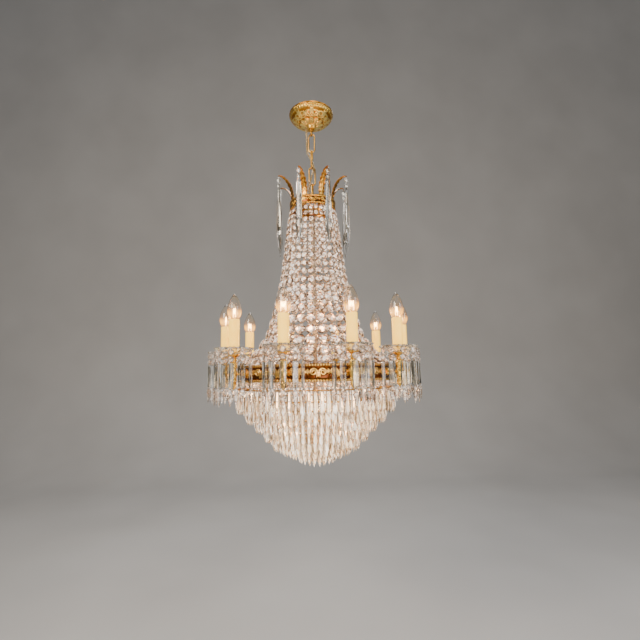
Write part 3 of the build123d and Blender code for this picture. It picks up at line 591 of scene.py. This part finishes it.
# --- gilt pieces -------------------------------------------------------------------------------------
def make_canopy(gilt):
    """Cast canopy: a beaded rim, a row of lobes, leaf scrolls on the bowl, and petals into the neck."""
    rim, neck, petal_tip = 67.0, 15.0, 37.0
    outside = smooth_line([(rim, 0), (rim, -3.6), (65.2, -8.8), (60.2, -15.8), (50.4, -23.9), (38.4, -30.1),
                           (24.2, -35.2), (14.2, -38.3), (12.6, -41.5), (12.4, -47.9)], 9)
    inside = [(6.2, -47.9), (6.2, -45.6), (10.4, -45.2), (10.9, -37.2), (21.5, -33.4), (35.6, -28.2),
              (47.6, -22.0), (57.4, -13.9), (62.5, -6.9), (64.8, -3.0), (64.8, 0.0)]
    beads, bead_height, lobe_count, lobe_middle = 72, -5.6, 42, 12.0
    scrolls, scroll_length, scroll_width, scroll_start, scroll_middle = 8, 36.0, 34.0, 15.0, 30.0
    petals, petal_wave, crease = 12, 6.0, 0.02
    depth, ground, lean_over = 2.0, 1.4, 45.0
    runs = [hypot(b[0] - a[0], b[1] - a[1]) for a, b in zip(outside, outside[1:])]
    from_rim = np.concatenate([[0], np.cumsum(runs), np.zeros(len(inside))])[:, None]

    def shape(radius, height, angle):
        shell = (np.arange(len(radius)) < len(outside))[:, None] & (height < -1.0)
        rim_beads = near(height, bead_height, 2.6) * np.abs(np.cos(angle * beads / 2))
        lobes = 0.9 * near(from_rim, lobe_middle, 3.8) ** 0.4 * np.abs(np.cos(angle * lobe_count / 2)) ** 0.6
        bowl = past(radius, petal_tip, 2) * past(from_rim, scroll_start, 1.5)
        x = angle * scrolls / (2 * pi) * scroll_length
        leaves = bowl * scroll_height(x, from_rim - scroll_middle, scroll_length, scroll_width, 0.62)
        fold = np.abs(np.cos(angle * petals / 2))
        petal = past(petal_tip - petal_wave * (1 - fold) - radius, 0, 1.5) * past(radius, neck, 2)
        petal = petal * (0.35 + 0.65 * fold ** 0.6) * (1 - 0.5 * near(fold, 1, crease))
        level = np.clip(leaves + petal + rim_beads + lobes + PLAIN * (radius < neck), 0, 1)
        push = np.where(shell & (radius > neck), depth * level - ground, 0)
        lean = past(rim - radius, 0, lean_over)
        return radius + push * (1 - 0.9 * lean), height - push * lean, np.where(shell, level, 0.35)
    make("canopy_casting", lathe(outside + inside, 360, shape), gilt, "ceiling_mount",
         ["canopy"])


def band_front(face, proud, flat, slope, bottom, top):
    """The front of a band's outline: a face between two mouldings."""
    return [(proud, top), (proud, top - flat), (face, top - flat - slope), (face, bottom + flat + slope),
            (proud, bottom + flat), (proud, bottom)]


def make_bands(gilt, wide_gilt):
    """The crown's band and the wide band under the tent, both with leaf scrolls in relief."""
    face, proud, back, steps = 66.0, 67.9, 63.5, 720
    front = band_front(face, proud, 4.2, 1.0, CROWN_BOTTOM, CROWN_TOP)
    relief = band_relief(face, (CROWN_TOP + CROWN_BOTTOM) / 2, 14.0, 12, 1.3, steps, 80)
    outline = fine([(back, CROWN_TOP)] + front + [(back, CROWN_BOTTOM)], 0.7, face)
    make("crown_band_casting", lathe(outline, steps, relief), gilt, "chandelier",
         ["crown_band"])

    face, proud, back, wall_back, flange, steps = 215.0, 219.0, 204.0, 212.0, 2.5, 1680
    front = band_front(face, proud, 4.5, 3.0, BAND_BOTTOM, BAND_TOP)
    behind = [(back, BAND_BOTTOM), (back, BAND_BOTTOM + flange), (wall_back, BAND_BOTTOM + flange),
              (wall_back, BAND_TOP - flange), (back, BAND_TOP - flange)]
    relief = band_relief(face, BAND_MIDDLE, 25.0, 28, 2.4, steps, 210)
    outline = fine([(back, BAND_TOP)] + front + behind, 1.0, face)
    make("main_band_casting", lathe(outline, steps, relief), wide_gilt, "chandelier",
         ["main_band"])


PLUME_RISE = 66.0           # tip over the crown band's top
PLUME_THICKNESS = 2.6
PLUME_LINE = [(61.9, -8.0), (61.9, 8.0), (63.7, 22.0), (68.8, 38.0), (77.6, 53.0), (90.5, 64.0),
              (101.1, 67.0), (108.0, PLUME_RISE)]       # radius, and height over the crown's top


def make_plumes(gilt):
    """Eight curved acanthus leaves with lobed edges and a raised rib."""
    leaf_half, tip_half, lobes, lobe_cut = 11.6, 0.9, 9.5, 0.42
    blade, rib_rise, vein_rise, sink = 0.55, 0.9, 0.6, 0.8
    line = smooth_line([(radius, CROWN_TOP + rise) for radius, rise in PLUME_LINE], 9)
    count = len(line)
    front_side, back_side = np.linspace(-1, 1, 13), np.linspace(1, -1, 13)
    rings, level = [], []
    for k, (radius, height) in enumerate(line):
        t = k / (count - 1)
        before, after = line[max(k - 1, 0)], line[min(k + 1, count - 1)]
        run = hypot(after[0] - before[0], after[1] - before[1])
        out = ((after[1] - before[1]) / run, -(after[0] - before[0]) / run)
        body = leaf_half * (sin(pi * min(1.0, 0.16 + 0.9 * t)) ** 0.75) * (1 - 0.35 * t) + tip_half
        half = body * (1.0 - lobe_cut * (1 - (t * lobes) % 1.0) * min(1.0, 6 * t))
        ring = []
        for j, s in enumerate(np.concatenate([front_side, back_side])):
            front = j < len(front_side)
            rib = rib_rise * max(0.0, 1 - abs(s) / 0.16)
            vein = vein_rise * abs(sin(lobes * pi * (t + 0.06 * abs(s)))) ** 0.7
            thick = (blade + rib + vein * (1 - abs(s))) if front else -blade
            push = thick + 0.20 * half * s * s - sink
            ring.append((half * s, -(radius + push * out[0]), height + push * out[1]))
            level.append(min(1.0, 0.6 * rib + 1.4 * vein * (1 - 0.4 * abs(s))) if front else 0.35)
        rings.append(ring)
    points, faces, _ = ring_mesh(rings)
    make("plume_leaves", round_about((points, faces, np.array(level)), PLUME_ANGLES), gilt, "chandelier",
         ["plume_arms"])


def make_candle_castings(gilt):
    """Turned and fluted candle stems with their finials, and the leaf brackets that hold them to the band."""
    neck, flute_count, flute_depth = 4.6, 12, 0.8
    cup = [(0.4, SLEEVE_FOOT + 8), (4.9, SLEEVE_FOOT + 7.8), (4.9, STEM_TOP + 0.2), (13.9, STEM_TOP),
           (13.6, STEM_TOP - 2.2), (10.5, STEM_TOP - 4.6), (6.4, STEM_TOP - 7), (4.9, STEM_TOP - 10),
           (7.4, STEM_TOP - 11.6), (8.1, STEM_TOP - 13.3), (7.4, STEM_TOP - 15), (5.1, STEM_TOP - 17),
           (7.6, STEM_TOP - 20.6), (8.5, STEM_TOP - 25), (8.3, STEM_TOP - 30)]
    vase = [(6.4, 11), (7.6, 7), (8.6, 0), (7.6, -7), (6.4, -11), (8.0, -13.2), (8.2, -15.6), (5.7, -18.4),
            (7.0, -24), (6.6, -28), (3.9, -33), (2.3, -35), (1.4, -37), (0.4, -37.2)]
    profile = smooth_line(cup + [(radius, BAND_MIDDLE + rise) for radius, rise in vase], 5)

    def flutes(radius, height, angle):
        swell = past(radius, neck, 3.5) * (height < STEM_TOP - 9)
        groove = np.abs(np.sin(angle * flute_count / 2)) ** 0.5
        level = np.clip(0.35 + 0.5 * groove - 0.3 * (1 - swell), 0, 1)
        return radius - flute_depth * swell * (1 - groove), height, level
    stem = moved(lathe(profile, 48, flutes), 0, -CANDLE_RADIUS, 0)
    make("candle_stem_castings", round_about(stem, CANDLE_ANGLES), gilt, "chandelier",
         ["candle_stems"])

    start, length, ribs = 216.6, 24.3, 5
    rings, level = [], []
    for t in np.linspace(0, 1, 15):
        wide = 5.0 - 2.0 * t + 0.5 * sin(3 * pi * t)
        tall = 8.5 - 6.4 * t ** 0.7 + 0.7 * sin(4 * pi * t)
        middle = BAND_MIDDLE + 1.2 * sin(pi * t)
        ring = []
        for a in circle(20):
            rib = 1 + 0.12 * cos(ribs * a)
            ring.append((wide * rib * cos(a), -(start + length * t), middle + tall * rib * sin(a)))
            level.append(0.55 + 0.25 * cos(ribs * a))
        rings.append(ring)
    points, faces, _ = ring_mesh(rings)
    make("bracket_castings", round_about((points, faces, np.array(level)), CANDLE_ANGLES), gilt, "chandelier",
         ["candle_arms"])


# --- crystals ----------------------------------------------------------------------------------------
STRANDS = 30
OCTAGON_SIZES = [14, 14, 15, 16, 16, 16, 16, 18, 18, 19, 20, 21, 22, 24, 25, 27, 30, 30, 26]
STRAND_TOP, STRAND_END = 65.0, 207.0        # radii of a strand's ends
TENT_BULGE = [(7.0, 34.0), (15.5, 109.0), (25.5, 195.0), (42.5, 278.0), (66.5, 369.5),
              (102.0, 423.0)]               # outwards and down from a strand's top
STRAND = [(STRAND_TOP, CROWN_BOTTOM - SEAT)]
STRAND += [(STRAND_TOP + out, CROWN_BOTTOM - down) for out, down in TENT_BULGE]
STRAND += [(STRAND_END, BAND_TOP + SEAT)]


def cut_stone(sides, reach, half, levels):
    """A cut stone through levels, each (share of its reach, share of its half height, turn in corners)."""
    return stone([corners(sides, across * reach, high * half, turn) for across, high, turn in levels])


def octagon(size):
    """A drilled octagon bead: table, star facets, main facets and a thin girdle, the same on both faces."""
    reach = size / 2 / cos(pi / 8)
    points, faces, _ = cut_stone(8, reach, 0.21 * size, [
        (0.46, -1, 0.5), (0.74, -0.66, 1), (0.985, -0.10, 0.5),
        (0.985, 0.10, 0.5), (0.74, 0.66, 1), (0.46, 1, 0.5)])
    inward = past(reach - np.hypot(points[:, 0], points[:, 1]), 0, 0.42 * reach)
    return tilted(points, 90), faces, inward


def pin_clip(length):
    """A bent brass pin between two drilled crystals: a head at each end and a narrow neck."""
    half = length / 2 - SEAT
    sections = [(-half, 1.1, 0.8), (-half + 0.7, 1.2, 0.9), (-half + 1.3, 0.55, 0.5), (half - 1.3, 0.55, 0.5),
                (half - 0.7, 1.2, 0.9), (half, 1.1, 0.8)]
    return ring_mesh([[(wide * cos(a), deep * sin(a), z) for a in circle(6)] for z, wide, deep in sections])


def along_strand(distance):
    """The radius and height that far down a strand."""
    for (r0, z0), (r1, z1) in zip(STRAND, STRAND[1:]):
        run = hypot(r1 - r0, z1 - z0)
        if distance <= run or (r1, z1) == STRAND[-1]:
            share = distance / run
            return r0 + share * (r1 - r0), z0 + share * (z1 - z0)
        distance -= run


def hung(mesh, start, end):
    """A piece in line with the strand, in the middle of a stretch of it."""
    r0, z0 = along_strand(start)
    r1, z1 = along_strand(end)
    tilt = degrees(atan2(r1 - r0, z0 - z1))
    return tilted(mesh[0], -tilt) + np.array([0, -(r0 + r1) / 2, (z0 + z1) / 2]), mesh[1], mesh[2]


def make_tent(crystal):
    """Thirty strands of octagons; gives back the pins between them."""
    total = sum(hypot(b[0] - a[0], b[1] - a[1]) for a, b in zip(STRAND, STRAND[1:]))
    gap = (total - sum(OCTAGON_SIZES)) / (len(OCTAGON_SIZES) + 1)
    angles = [360.0 / STRANDS * (k + 0.5) for k in range(STRANDS)]
    beads, clips, place = [], [], 0.0
    for size in OCTAGON_SIZES:
        clips.append(round_about(hung(pin_clip(gap), place, place + gap), angles))
        place += gap
        beads.append(round_about(hung(octagon(size), place, place + size), angles))
        place += size
    clips.append(round_about(hung(pin_clip(gap), place, place + gap), angles))
    for name, low, high in [("octagons_small", 0, 7), ("octagons_medium", 7, 13), ("octagons_large", 13, 19)]:
        make("cut_" + name, joined(beads[low:high]), crystal, "chandelier", [name],
             smooth=False)
    return clips


def prism_section(width, depth, height, table, edge):
    """An eight-cornered section: a flat front and back, long bevels and thin edges."""
    w, d = width / 2, depth / 2
    x = table * w
    return [(w, edge * d, height), (x, d, height), (-x, d, height), (-w, edge * d, height),
            (-w, -edge * d, height), (-x, -d, height), (x, -d, height), (w, -edge * d, height)]


def prism(sections, table, edge):
    """A prism through (height, width, depth) sections, its relief low along its thin edges."""
    points, faces, _ = ring_mesh([prism_section(w, d, h, table, edge) for h, w, d in sections])
    return points, faces, np.tile([0.05, 1.0, 1.0, 0.05] * 2, len(sections))


def make_crown_drops(crystal, brass):
    """Ball, bead and long spear prism on each plume, with bent pins between them."""
    hang_radius, pin, ball, bead, long = 106.0, 3.6, 13.0, 11.5, 186.0
    levels = [(0.34, -1, 0), (0.72, -0.72, 0.5), (0.96, -0.22, 0),
              (0.96, 0.22, 0.5), (0.72, 0.72, 0), (0.34, 1, 0.5)]
    stones, pins = [], []
    z = CROWN_TOP + PLUME_RISE - PLUME_THICKNESS / 2 - SEAT
    for size in (ball, bead):
        pins.append(moved(pin_clip(pin + 2 * SEAT), 0, 0, z - pin / 2))
        z -= pin + SEAT
        stones.append(moved(cut_stone(10, size / 2, size / 2, levels), 0, 0, z - size / 2))
        z -= size + SEAT
    shoulder = 0.63 * long
    sections = [(-long, 1.6, 1.0), (-long + 4, 4.0, 2.6), (-shoulder - 22, 20.4, 11.4),
                (-shoulder - 12, 20.6, 11.6), (-shoulder - 4, 15.6, 9.4), (-shoulder + 2, 19.6, 11.0),
                (-shoulder + 10, 20.2, 11.2), (-16, 12.6, 8.2), (-11, 13.6, 8.6), (-5, 11.0, 7.4),
                (0, 7.8, 5.2)]
    stones.append(moved(prism(sections, 0.36, 0.16), 0, 0, z))
    for number, angle in enumerate(PLUME_ANGLES, 1):
        drop = round_about(moved(joined(stones), 0, -hang_radius, 0), [angle])
        make(f"spear_drop_{number}", drop, crystal, f"drop_{number}",
             [f"crown_drop_{number}"], smooth=False)
        fitting = round_about(moved(joined(pins), 0, -hang_radius, 0), [angle])
        make(f"spear_pins_{number}", fitting, brass, f"drop_{number}")


BALL_HEIGHT = 14.0
HOOP_RADIUS = 213.0
HOOP_HEIGHT = 7.0


def make_ball_row(glass):
    """A row of cut balls under the wide band."""
    count = 90
    levels = [(2.4, -7.0, 0), (4.6, -4.9, 0.5), (6.05, -1.6, 0), (6.05, 1.6, 0.5), (4.6, 4.9, 0),
              (2.4, 7.0, 0.5)]
    ball = moved(stone([corners(9, *level) for level in levels]),
                 0, -HOOP_RADIUS, BAND_BOTTOM - SEAT - BALL_HEIGHT / 2)
    make("cut_ball_row", round_about(ball, [360.0 / count * k for k in range(count)]), glass, "chandelier",
         ["ball_row"], smooth=False)


TIERS = [(HOOP_RADIUS, 0.0, 90), (188.0, 27.0, 80), (163.5, 50.0, 70), (139.0, 76.0, 60), (115.5, 100.0, 50),
         (91.0, 114.0, 40), (68.0, 125.0, 30), (45.0, 137.0, 20), (20.0, 145.0, 8)]  # radius, drop, prisms
TIER_BASE = BAND_BOTTOM - BALL_HEIGHT - 2 * SEAT - HOOP_HEIGHT


def make_basket(glass, brass):
    """Nine tiers of icicle prisms, each on a wire hook round its hoop."""
    hoop_wire, hook_radius, hook_wire, hoop_rise = 1.5, 2.6, 0.45, 1.9
    sections = [(-60.0, 0.9, 0.7), (-57.0, 2.6, 1.8), (-45.6, 12.9, 9.2), (-42.0, 12.6, 9.0),
                (-4.0, 8.2, 5.9), (-2.4, 7.6, 5.4), (0, 3.8, 2.8)]
    icicle = prism(sections, 0.22, 0.1)
    hook = tube([(0, hook_radius * sin(a), hoop_rise + hook_radius * cos(a))
                 for a in np.linspace(radians(150), radians(-150), 7)], hook_wire, 5)
    groups = [[], [], []]
    hooks, wires = [], []
    for number, (radius, drop, count) in enumerate(TIERS):
        base = TIER_BASE - drop
        angles = [(k + 0.5) * 360.0 / count for k in range(count)]
        groups[number // 3].append(round_about(moved(icicle, 0, -radius, base - SEAT), angles))
        hooks.append(round_about(moved(hook, 0, -radius, base), angles))
        ring = [(radius * cos(a), radius * sin(a), base + hoop_rise) for a in np.linspace(0, 2 * pi, 181)]
        wires.append(tube(ring, hoop_wire, 8))
    for name, group in zip(["prisms_outer", "prisms_middle", "prisms_inner"], groups):
        make("cut_" + name, joined(group), glass, "chandelier", [name], smooth=False)
    make("prism_hooks", joined(hooks), brass, "chandelier")
    make("hoop_wires", joined(wires), brass, "chandelier", ["tier_hoops"])


STRING_RADIUS = 45.0
STRING_ANGLES = [18, 54, 90, 124, -18, -54, -90, -124]


def make_strings(crystal, clear_crystal):
    """Strings of two octagons, a baguette and a pointed drop; gives back their pins."""
    size, pin, bar_length = 14.0, 2.6, 58.0
    brim, shoulder = 48.5, 34.0
    under = STEM_TOP + 0.34 * DISH_DEPTH
    under += (0.66 * DISH_DEPTH - DISH_GLASS) * (STRING_RADIUS - shoulder) / (brim - shoulder)
    z = under - SEAT
    stones, pins = [], []
    for _ in range(2):
        stones.append(moved(octagon(size), 0, 0, z - size / 2))
        z -= size
        pins.append(moved(pin_clip(pin), 0, 0, z - pin / 2))
        z -= pin
    bar_sections = [(-bar_length, 10.6, 2.2), (-55.6, 14.8, 4.6), (-2.4, 14.8, 4.6), (0, 10.6, 2.2)]
    bar = moved(prism(bar_sections, 0.66, 0.3), 0, 0, z)
    z -= bar_length
    pins.append(moved(pin_clip(pin), 0, 0, z - pin / 2))
    z -= pin
    drop_sections = [(-39.0, 0.8, 0.6), (-36.5, 2.6, 1.6), (-12.0, 15.4, 7.6), (-9.0, 16.0, 8.0),
                     (-5.5, 14.6, 7.2), (0, 7.2, 3.8)]
    drop = moved(prism(drop_sections, 0.42, 0.14), 0, 0, z)

    def everywhere(mesh):
        string = round_about(moved(mesh, 0, -STRING_RADIUS, 0), STRING_ANGLES)
        return round_about(moved(string, 0, -CANDLE_RADIUS, 0), CANDLE_ANGLES)

    for name, mesh, material in [("octagons", joined(stones), crystal), ("baguettes", bar, clear_crystal),
                                 ("drops", drop, crystal)]:
        make("cut_pendant_" + name, everywhere(mesh), material, "chandelier",
             ["pendant_" + name], smooth=False)
    return [everywhere(joined(pins))]


# --- candles -----------------------------------------------------------------------------------------
def make_dishes(glass):
    """Pressed drip dishes with a lobed edge, one on each stem."""
    bore, brim, lobes = 5.1, STEM_TOP + DISH_DEPTH, 28
    lobe_depth, lobe_drop = 2.2, 1.1
    under = [(bore, STEM_TOP), (16, STEM_TOP), (26, STEM_TOP + 2.4), (36, STEM_TOP + 6.4),
             (44, STEM_TOP + 9.6), (47.6, brim - 3.2), (48.3, brim - 0.8)]
    over = [(47.2, brim), (44.0, brim - 1.4), (34, STEM_TOP + 9.6), (25, STEM_TOP + 6.2), (18, SLEEVE_FOOT),
            (bore, SLEEVE_FOOT)]

    def ribs(radius, height, angle):
        outward = past(radius, 17, 28)
        lobe = np.abs(np.cos(angle * lobes / 2)) ** 0.7
        height = height - lobe_drop * outward * (1 - lobe)
        return radius - lobe_depth * outward ** 2 * (1 - lobe), height, 0 * radius + 0.5
    dish = moved(lathe(smooth_line(under, 6) + smooth_line(over, 6), 224, ribs), 0, -CANDLE_RADIUS, 0)
    for number, angle in enumerate(CANDLE_ANGLES):
        make(f"drip_dish_{number + 1}", round_about(dish, [angle]), glass, "chandelier",
             ["bobeches"] if number == 0 else [])


def make_sleeves(sleeve):
    """Ivory tubes over the lamp holders, moulded with wax drips and an uneven top."""
    bore, outside, drip_count, drip_depth, top_depth = 11.8, 13.0, 5, 0.125, 0.4

    def drips(radius, height, angle):
        top = past(height, SLEEVE_TOP - 3, 3)
        wander = 0.5 * np.sin(3 * angle + 1) + 0.4 * np.sin(7 * angle)
        hollow = drip_depth * (1 + np.sin(drip_count * angle)) * (radius > bore + 0.5)
        return radius - hollow, height + top * top_depth * (wander - 1), 0 * radius + 0.5
    outline = fine([(bore, SLEEVE_FOOT), (outside - 0.05, SLEEVE_FOOT), (outside, SLEEVE_TOP - 1.2),
                    (12.6, SLEEVE_TOP), (12.1, SLEEVE_TOP), (bore, SLEEVE_TOP - 0.8)], 4.0)
    tubes = round_about(moved(lathe(outline, 64, drips), 0, -CANDLE_RADIUS, 0), CANDLE_ANGLES)
    make("ivory_sleeves", tubes, sleeve, "chandelier", ["candle_sleeves"])


def make_bulbs(glass, filament, cap_metal, mount_glass):
    """Clear candle bulbs: a blown envelope, a threaded cap, and a glass mount under a zigzag filament."""
    cap_top = BULB_FOOT + 23.0
    tall = BULB_TIP - cap_top
    wall, tip_wall, thread_pitch, thread_radius, thread_depth = 0.7, 0.9, 2.8, 6.55, 0.38
    glow_height, glow_reach = 24.0, 15.0
    outer = [(6.9, cap_top), (7.2, cap_top + 2.5), (8.6, cap_top + 6.5)]
    outer += [(radius, cap_top + share * tall) for radius, share in [
        (12.6, 0.18), (16.2, 0.30), (17.45, 0.42), (16.8, 0.54), (14.6, 0.67), (10.8, 0.80), (5.8, 0.92),
        (2.2, 0.985), (0.3, 1.0)]]
    outer = smooth_line(outer, 6)
    inner = [(max(r - wall, 0.1), z - (tip_wall if r < 6 and z > BULB_FOOT + 60 else 0))
             for r, z in outer[::-1]]
    inner = [(r, max(z, cap_top + 0.8)) for r, z in inner if z > cap_top + 1.0]

    # the relief attribute here is the level of the painted glow round the filament
    def lit(radius, height, angle):
        return radius, height, np.exp(-((height - cap_top - glow_height) / glow_reach) ** 2)
    envelope = lathe(outer + inner, 48, lit)
    thread = [(thread_radius + thread_depth * sin(2 * pi * rise / thread_pitch), BULB_FOOT + rise)
              for rise in np.linspace(5, cap_top - BULB_FOOT - 1, 100)]
    cap = lathe([(0.2, BULB_FOOT), (2.6, BULB_FOOT), (3.2, BULB_FOOT + 1.6), (5.2, BULB_FOOT + 3.2)] + thread
                + [(6.6, cap_top), (0.2, cap_top)], 40)
    mount = lathe([(0.2, cap_top), (2.8, cap_top), (2.4, cap_top + 6), (1.2, cap_top + 18),
                   (1.4, cap_top + 20), (0.2, cap_top + 20.4)], 20)
    wire = [(-6.0, 0, cap_top + 16), (-6.2, 0, cap_top + 34)]
    wire += [(-5.2 + 1.3 * k, 1.2 * sin(2.4 * k), cap_top + (24 if k % 2 else 38)) for k in range(9)]
    wire += [(6.2, 0, cap_top + 34), (6.0, 0, cap_top + 16)]
    coil = tube(smooth_line(wire, 4), 0.55, 6)
    for number, angle in enumerate(CANDLE_ANGLES, 1):
        for name, mesh, material, slot, nodes in [
                ("envelope", envelope, glass, "bulb_glass", [f"candle_bulb_{number}"]),
                ("cap", cap, cap_metal, "gilt_brass", []),
                ("mount", mount, mount_glass, "bulb_glass", []),
                ("filament", coil, filament, "bulb_glass", [])]:
            make(f"bulb_{name}_{number}", round_about(moved(mesh, 0, -CANDLE_RADIUS, 0), [angle]), material,
                 f"bulb_{number}", nodes)


# --- the scene ---------------------------------------------------------------------------------------
set_camera()

# Extruded soft PVC over twisted gold-coloured cores: clear, a little milky, with a slight wave.
jacket_pvc = clear_glass("clear_pvc_jacket", "#F2E2C0", "#FFF4DC", 1.45, 0.12, 6.0, 0.1)
core_pvc = moulded_plastic("gold_pvc_cores", "#CDB58A", "#EBDAB8", 0.35, 1.5, {"Coat Weight": 0.3})
make_cable(jacket_pvc, core_pvc)

# Cast brass, gilt and lacquered: yellow crests over brown patina in the hollows. Its three copies are painted
# lit and painted shade, deeper where less light falls on it.
gilt_painted_lit = gilt_casting("gilt_brass_painted_lit", "#BE7A1E", "#F3BC4C", "#FFE88C", 0.27)
gilt_painted_shade = gilt_casting("gilt_brass_painted_shade", "#7A3A0E", "#D18A2C", "#F8C45C", 0.26)
gilt_painted_deep_shade = gilt_casting("gilt_brass_painted_deep_shade", "#5E2E08", "#965A1A", "#F8CC74", 0.28)
# Drawn brass wire, bent and polished; the pins are thinner and browner, the tube is dull with age.
drawn_brass = polished_metal("drawn_brass", "#B98535", "#E2B65C", 0.24, 0.8)
pin_brass = polished_metal("brass_pins", "#9A6A2C", "#C89A4B", 0.3, 0.6)
tube_brass = polished_metal("aged_brass_tube", "#A08C74", "#BBA98E", 0.34, 0.8)
# Zinc-plated steel of the ceiling fitting, and the nickel-plated caps of the bulbs: grey, softly bright.
zinc = polished_metal("zinc_plated_steel", "#9DA0A3", "#C3C6C8", 0.34, 1.2)
nickel = polished_metal("nickel_plated_cap", "#A8A59C", "#CFCBBF", 0.28, 0.7)
# Cut lead crystal: painted white glints and painted brown shade in the tent, less of both away from the
# candles.
lead_crystal = cut_crystal(
    "cut_lead_crystal", ["#3E2C20", "#B89070", "#FFEEDA", "#FFFFFF"], "#B4926C", 1.60, 0.94, 0.86, 4.8)
string_crystal = cut_crystal(
    "string_lead_crystal", ["#A48468", "#F2E2D0", "#FFFFFF"], "#8C8074", 1.60, 0.96, 0.35, 4.0)
spear_crystal = cut_crystal(
    "spear_lead_crystal", ["#6E685C", "#D8D2C4", "#FFFFFF"], "#7A7466", 1.54, 0.98, 0.20, 5.0, 12.0)
pane_crystal = cut_crystal(
    "pane_lead_crystal", ["#5A5850", "#DCD6C6", "#FFFFFF"], "#7A7668", 1.54, 0.97, 0.22, 5.0, 9.0)
basket_crystal = cut_crystal(
    "basket_lead_crystal", ["#7E6648", "#F2DCBC", "#FFFAF0", "#FFFFFF"], "#C2A47C",
    1.56, 0.90, 0.92, 2.6, 8.0)
ball_crystal = cut_crystal(
    "ball_lead_crystal", ["#86684A", "#FFE4C4", "#FFFFFF"], "#C8A67E", 1.56, 0.90, 0.60, 3.4)
# Pressed glass, with softer and wider facets than the cut stones, and the same painted glints and shade.
dish_glass = cut_crystal(
    "pressed_dish_glass", ["#8E8272", "#F6EBDC", "#FFFFFF"], "#A89C8A", 1.50, 0.94, 0.35, 4.5)
# Blown bulb glass with a painted glow of the filament's warm light low in the bulb, and the drawn glass of
# its mount.
blown_glass = clear_glass("blown_bulb_glass", "#FFF6E4", "#FFFFFF", 1.45, 0.0, 30.0, 0.02, "#FFAA1E")
stem_glass = clear_glass("bulb_stem_glass", "#FFF2DC", "#FFFFFF", 1.48, 0.04, 10.0, 0.05)
# Moulded ivory plastic, matt and waxy; its deep yellow and its glow are painted light of the bulb that shines
# into it.
ivory = moulded_plastic(
    "ivory_sleeve", "#FFCC4C", "#FFDC70", 0.42, 2.2,
    {"Subsurface Weight": 0.25, "Subsurface Radius": (0.006, 0.004, 0.002),
     "Emission Color": linear("#FFC23C"), "Emission Strength": 1.8})
# Moulded thermoset of the lamp holders and nylon of the terminal block: off-white, slightly shiny.
thermoset = moulded_plastic("holder_thermoset", "#E4DDCB", "#F1EBDC", 0.35, 1.5, {})
nylon = moulded_plastic("terminal_nylon", "#DAD8D0", "#ECEAE2", 0.5, 1.0, {})

make_canopy(gilt_painted_lit)
make_bands(gilt_painted_shade, gilt_painted_deep_shade)
make_plumes(gilt_painted_shade)
make_candle_castings(gilt_painted_lit)
make_crown_drops(spear_crystal, pin_brass)
tent_pins = make_tent(lead_crystal)
string_pins = make_strings(string_crystal, pane_crystal)
make("bent_pins", joined(tent_pins + string_pins), pin_brass, "chandelier", ["crystal_clips"])
make_ball_row(ball_crystal)
make_basket(basket_crystal, pin_brass)
make_dishes(dish_glass)
make_sleeves(ivory)
make_bulbs(blown_glass, glowing_wire(), nickel, stem_glass)
carry(thermoset, "lamp_holders")
carry(drawn_brass, "loop_nut", "crown_hook", "crown_spider", "main_spider", "basket_ribs", "bottom_plate",
      "chain_link_1", "chain_link_2", "chain_link_3", "chain_link_4")
carry(tube_brass, "centre_tube")
carry(zinc, "ceiling_strap", "threaded_rod", "lock_nuts")
carry(nylon, "terminal_block")

make_stage()
soft_lamp("key_softbox", (-1.7, -2.0, 0.8), (0, 0, -0.6), (1.3, 1.3), 75, "#FFF3E4")
soft_lamp("fill_softbox", (2.2, -1.4, -0.1), (0, 0, -0.6), (0.9, 1.5), 24, "#EEF3FF")
soft_lamp("low_softbox", (0.4, -2.2, -1.15), (0, 0, -0.45), (1.1, 0.8), 30, "#FFE6C2")
soft_lamp("top_softbox", (0.3, 1.3, 1.5), (0, 0, -0.6), (1.6, 1.2), 40, "#FFFFFF")
candle_light("candle_light_tent", (0, 0, -0.66), 4.5)
candle_light("candle_light_basket", (0, 0, -0.87), 2.5)
world = bpy.data.worlds.new("soft_room")
world.use_nodes = True
world.node_tree.nodes["Background"].inputs["Color"].default_value = linear("#D8DADD")
world.node_tree.nodes["Background"].inputs["Strength"].default_value = 0.28
bpy.context.scene.world = world
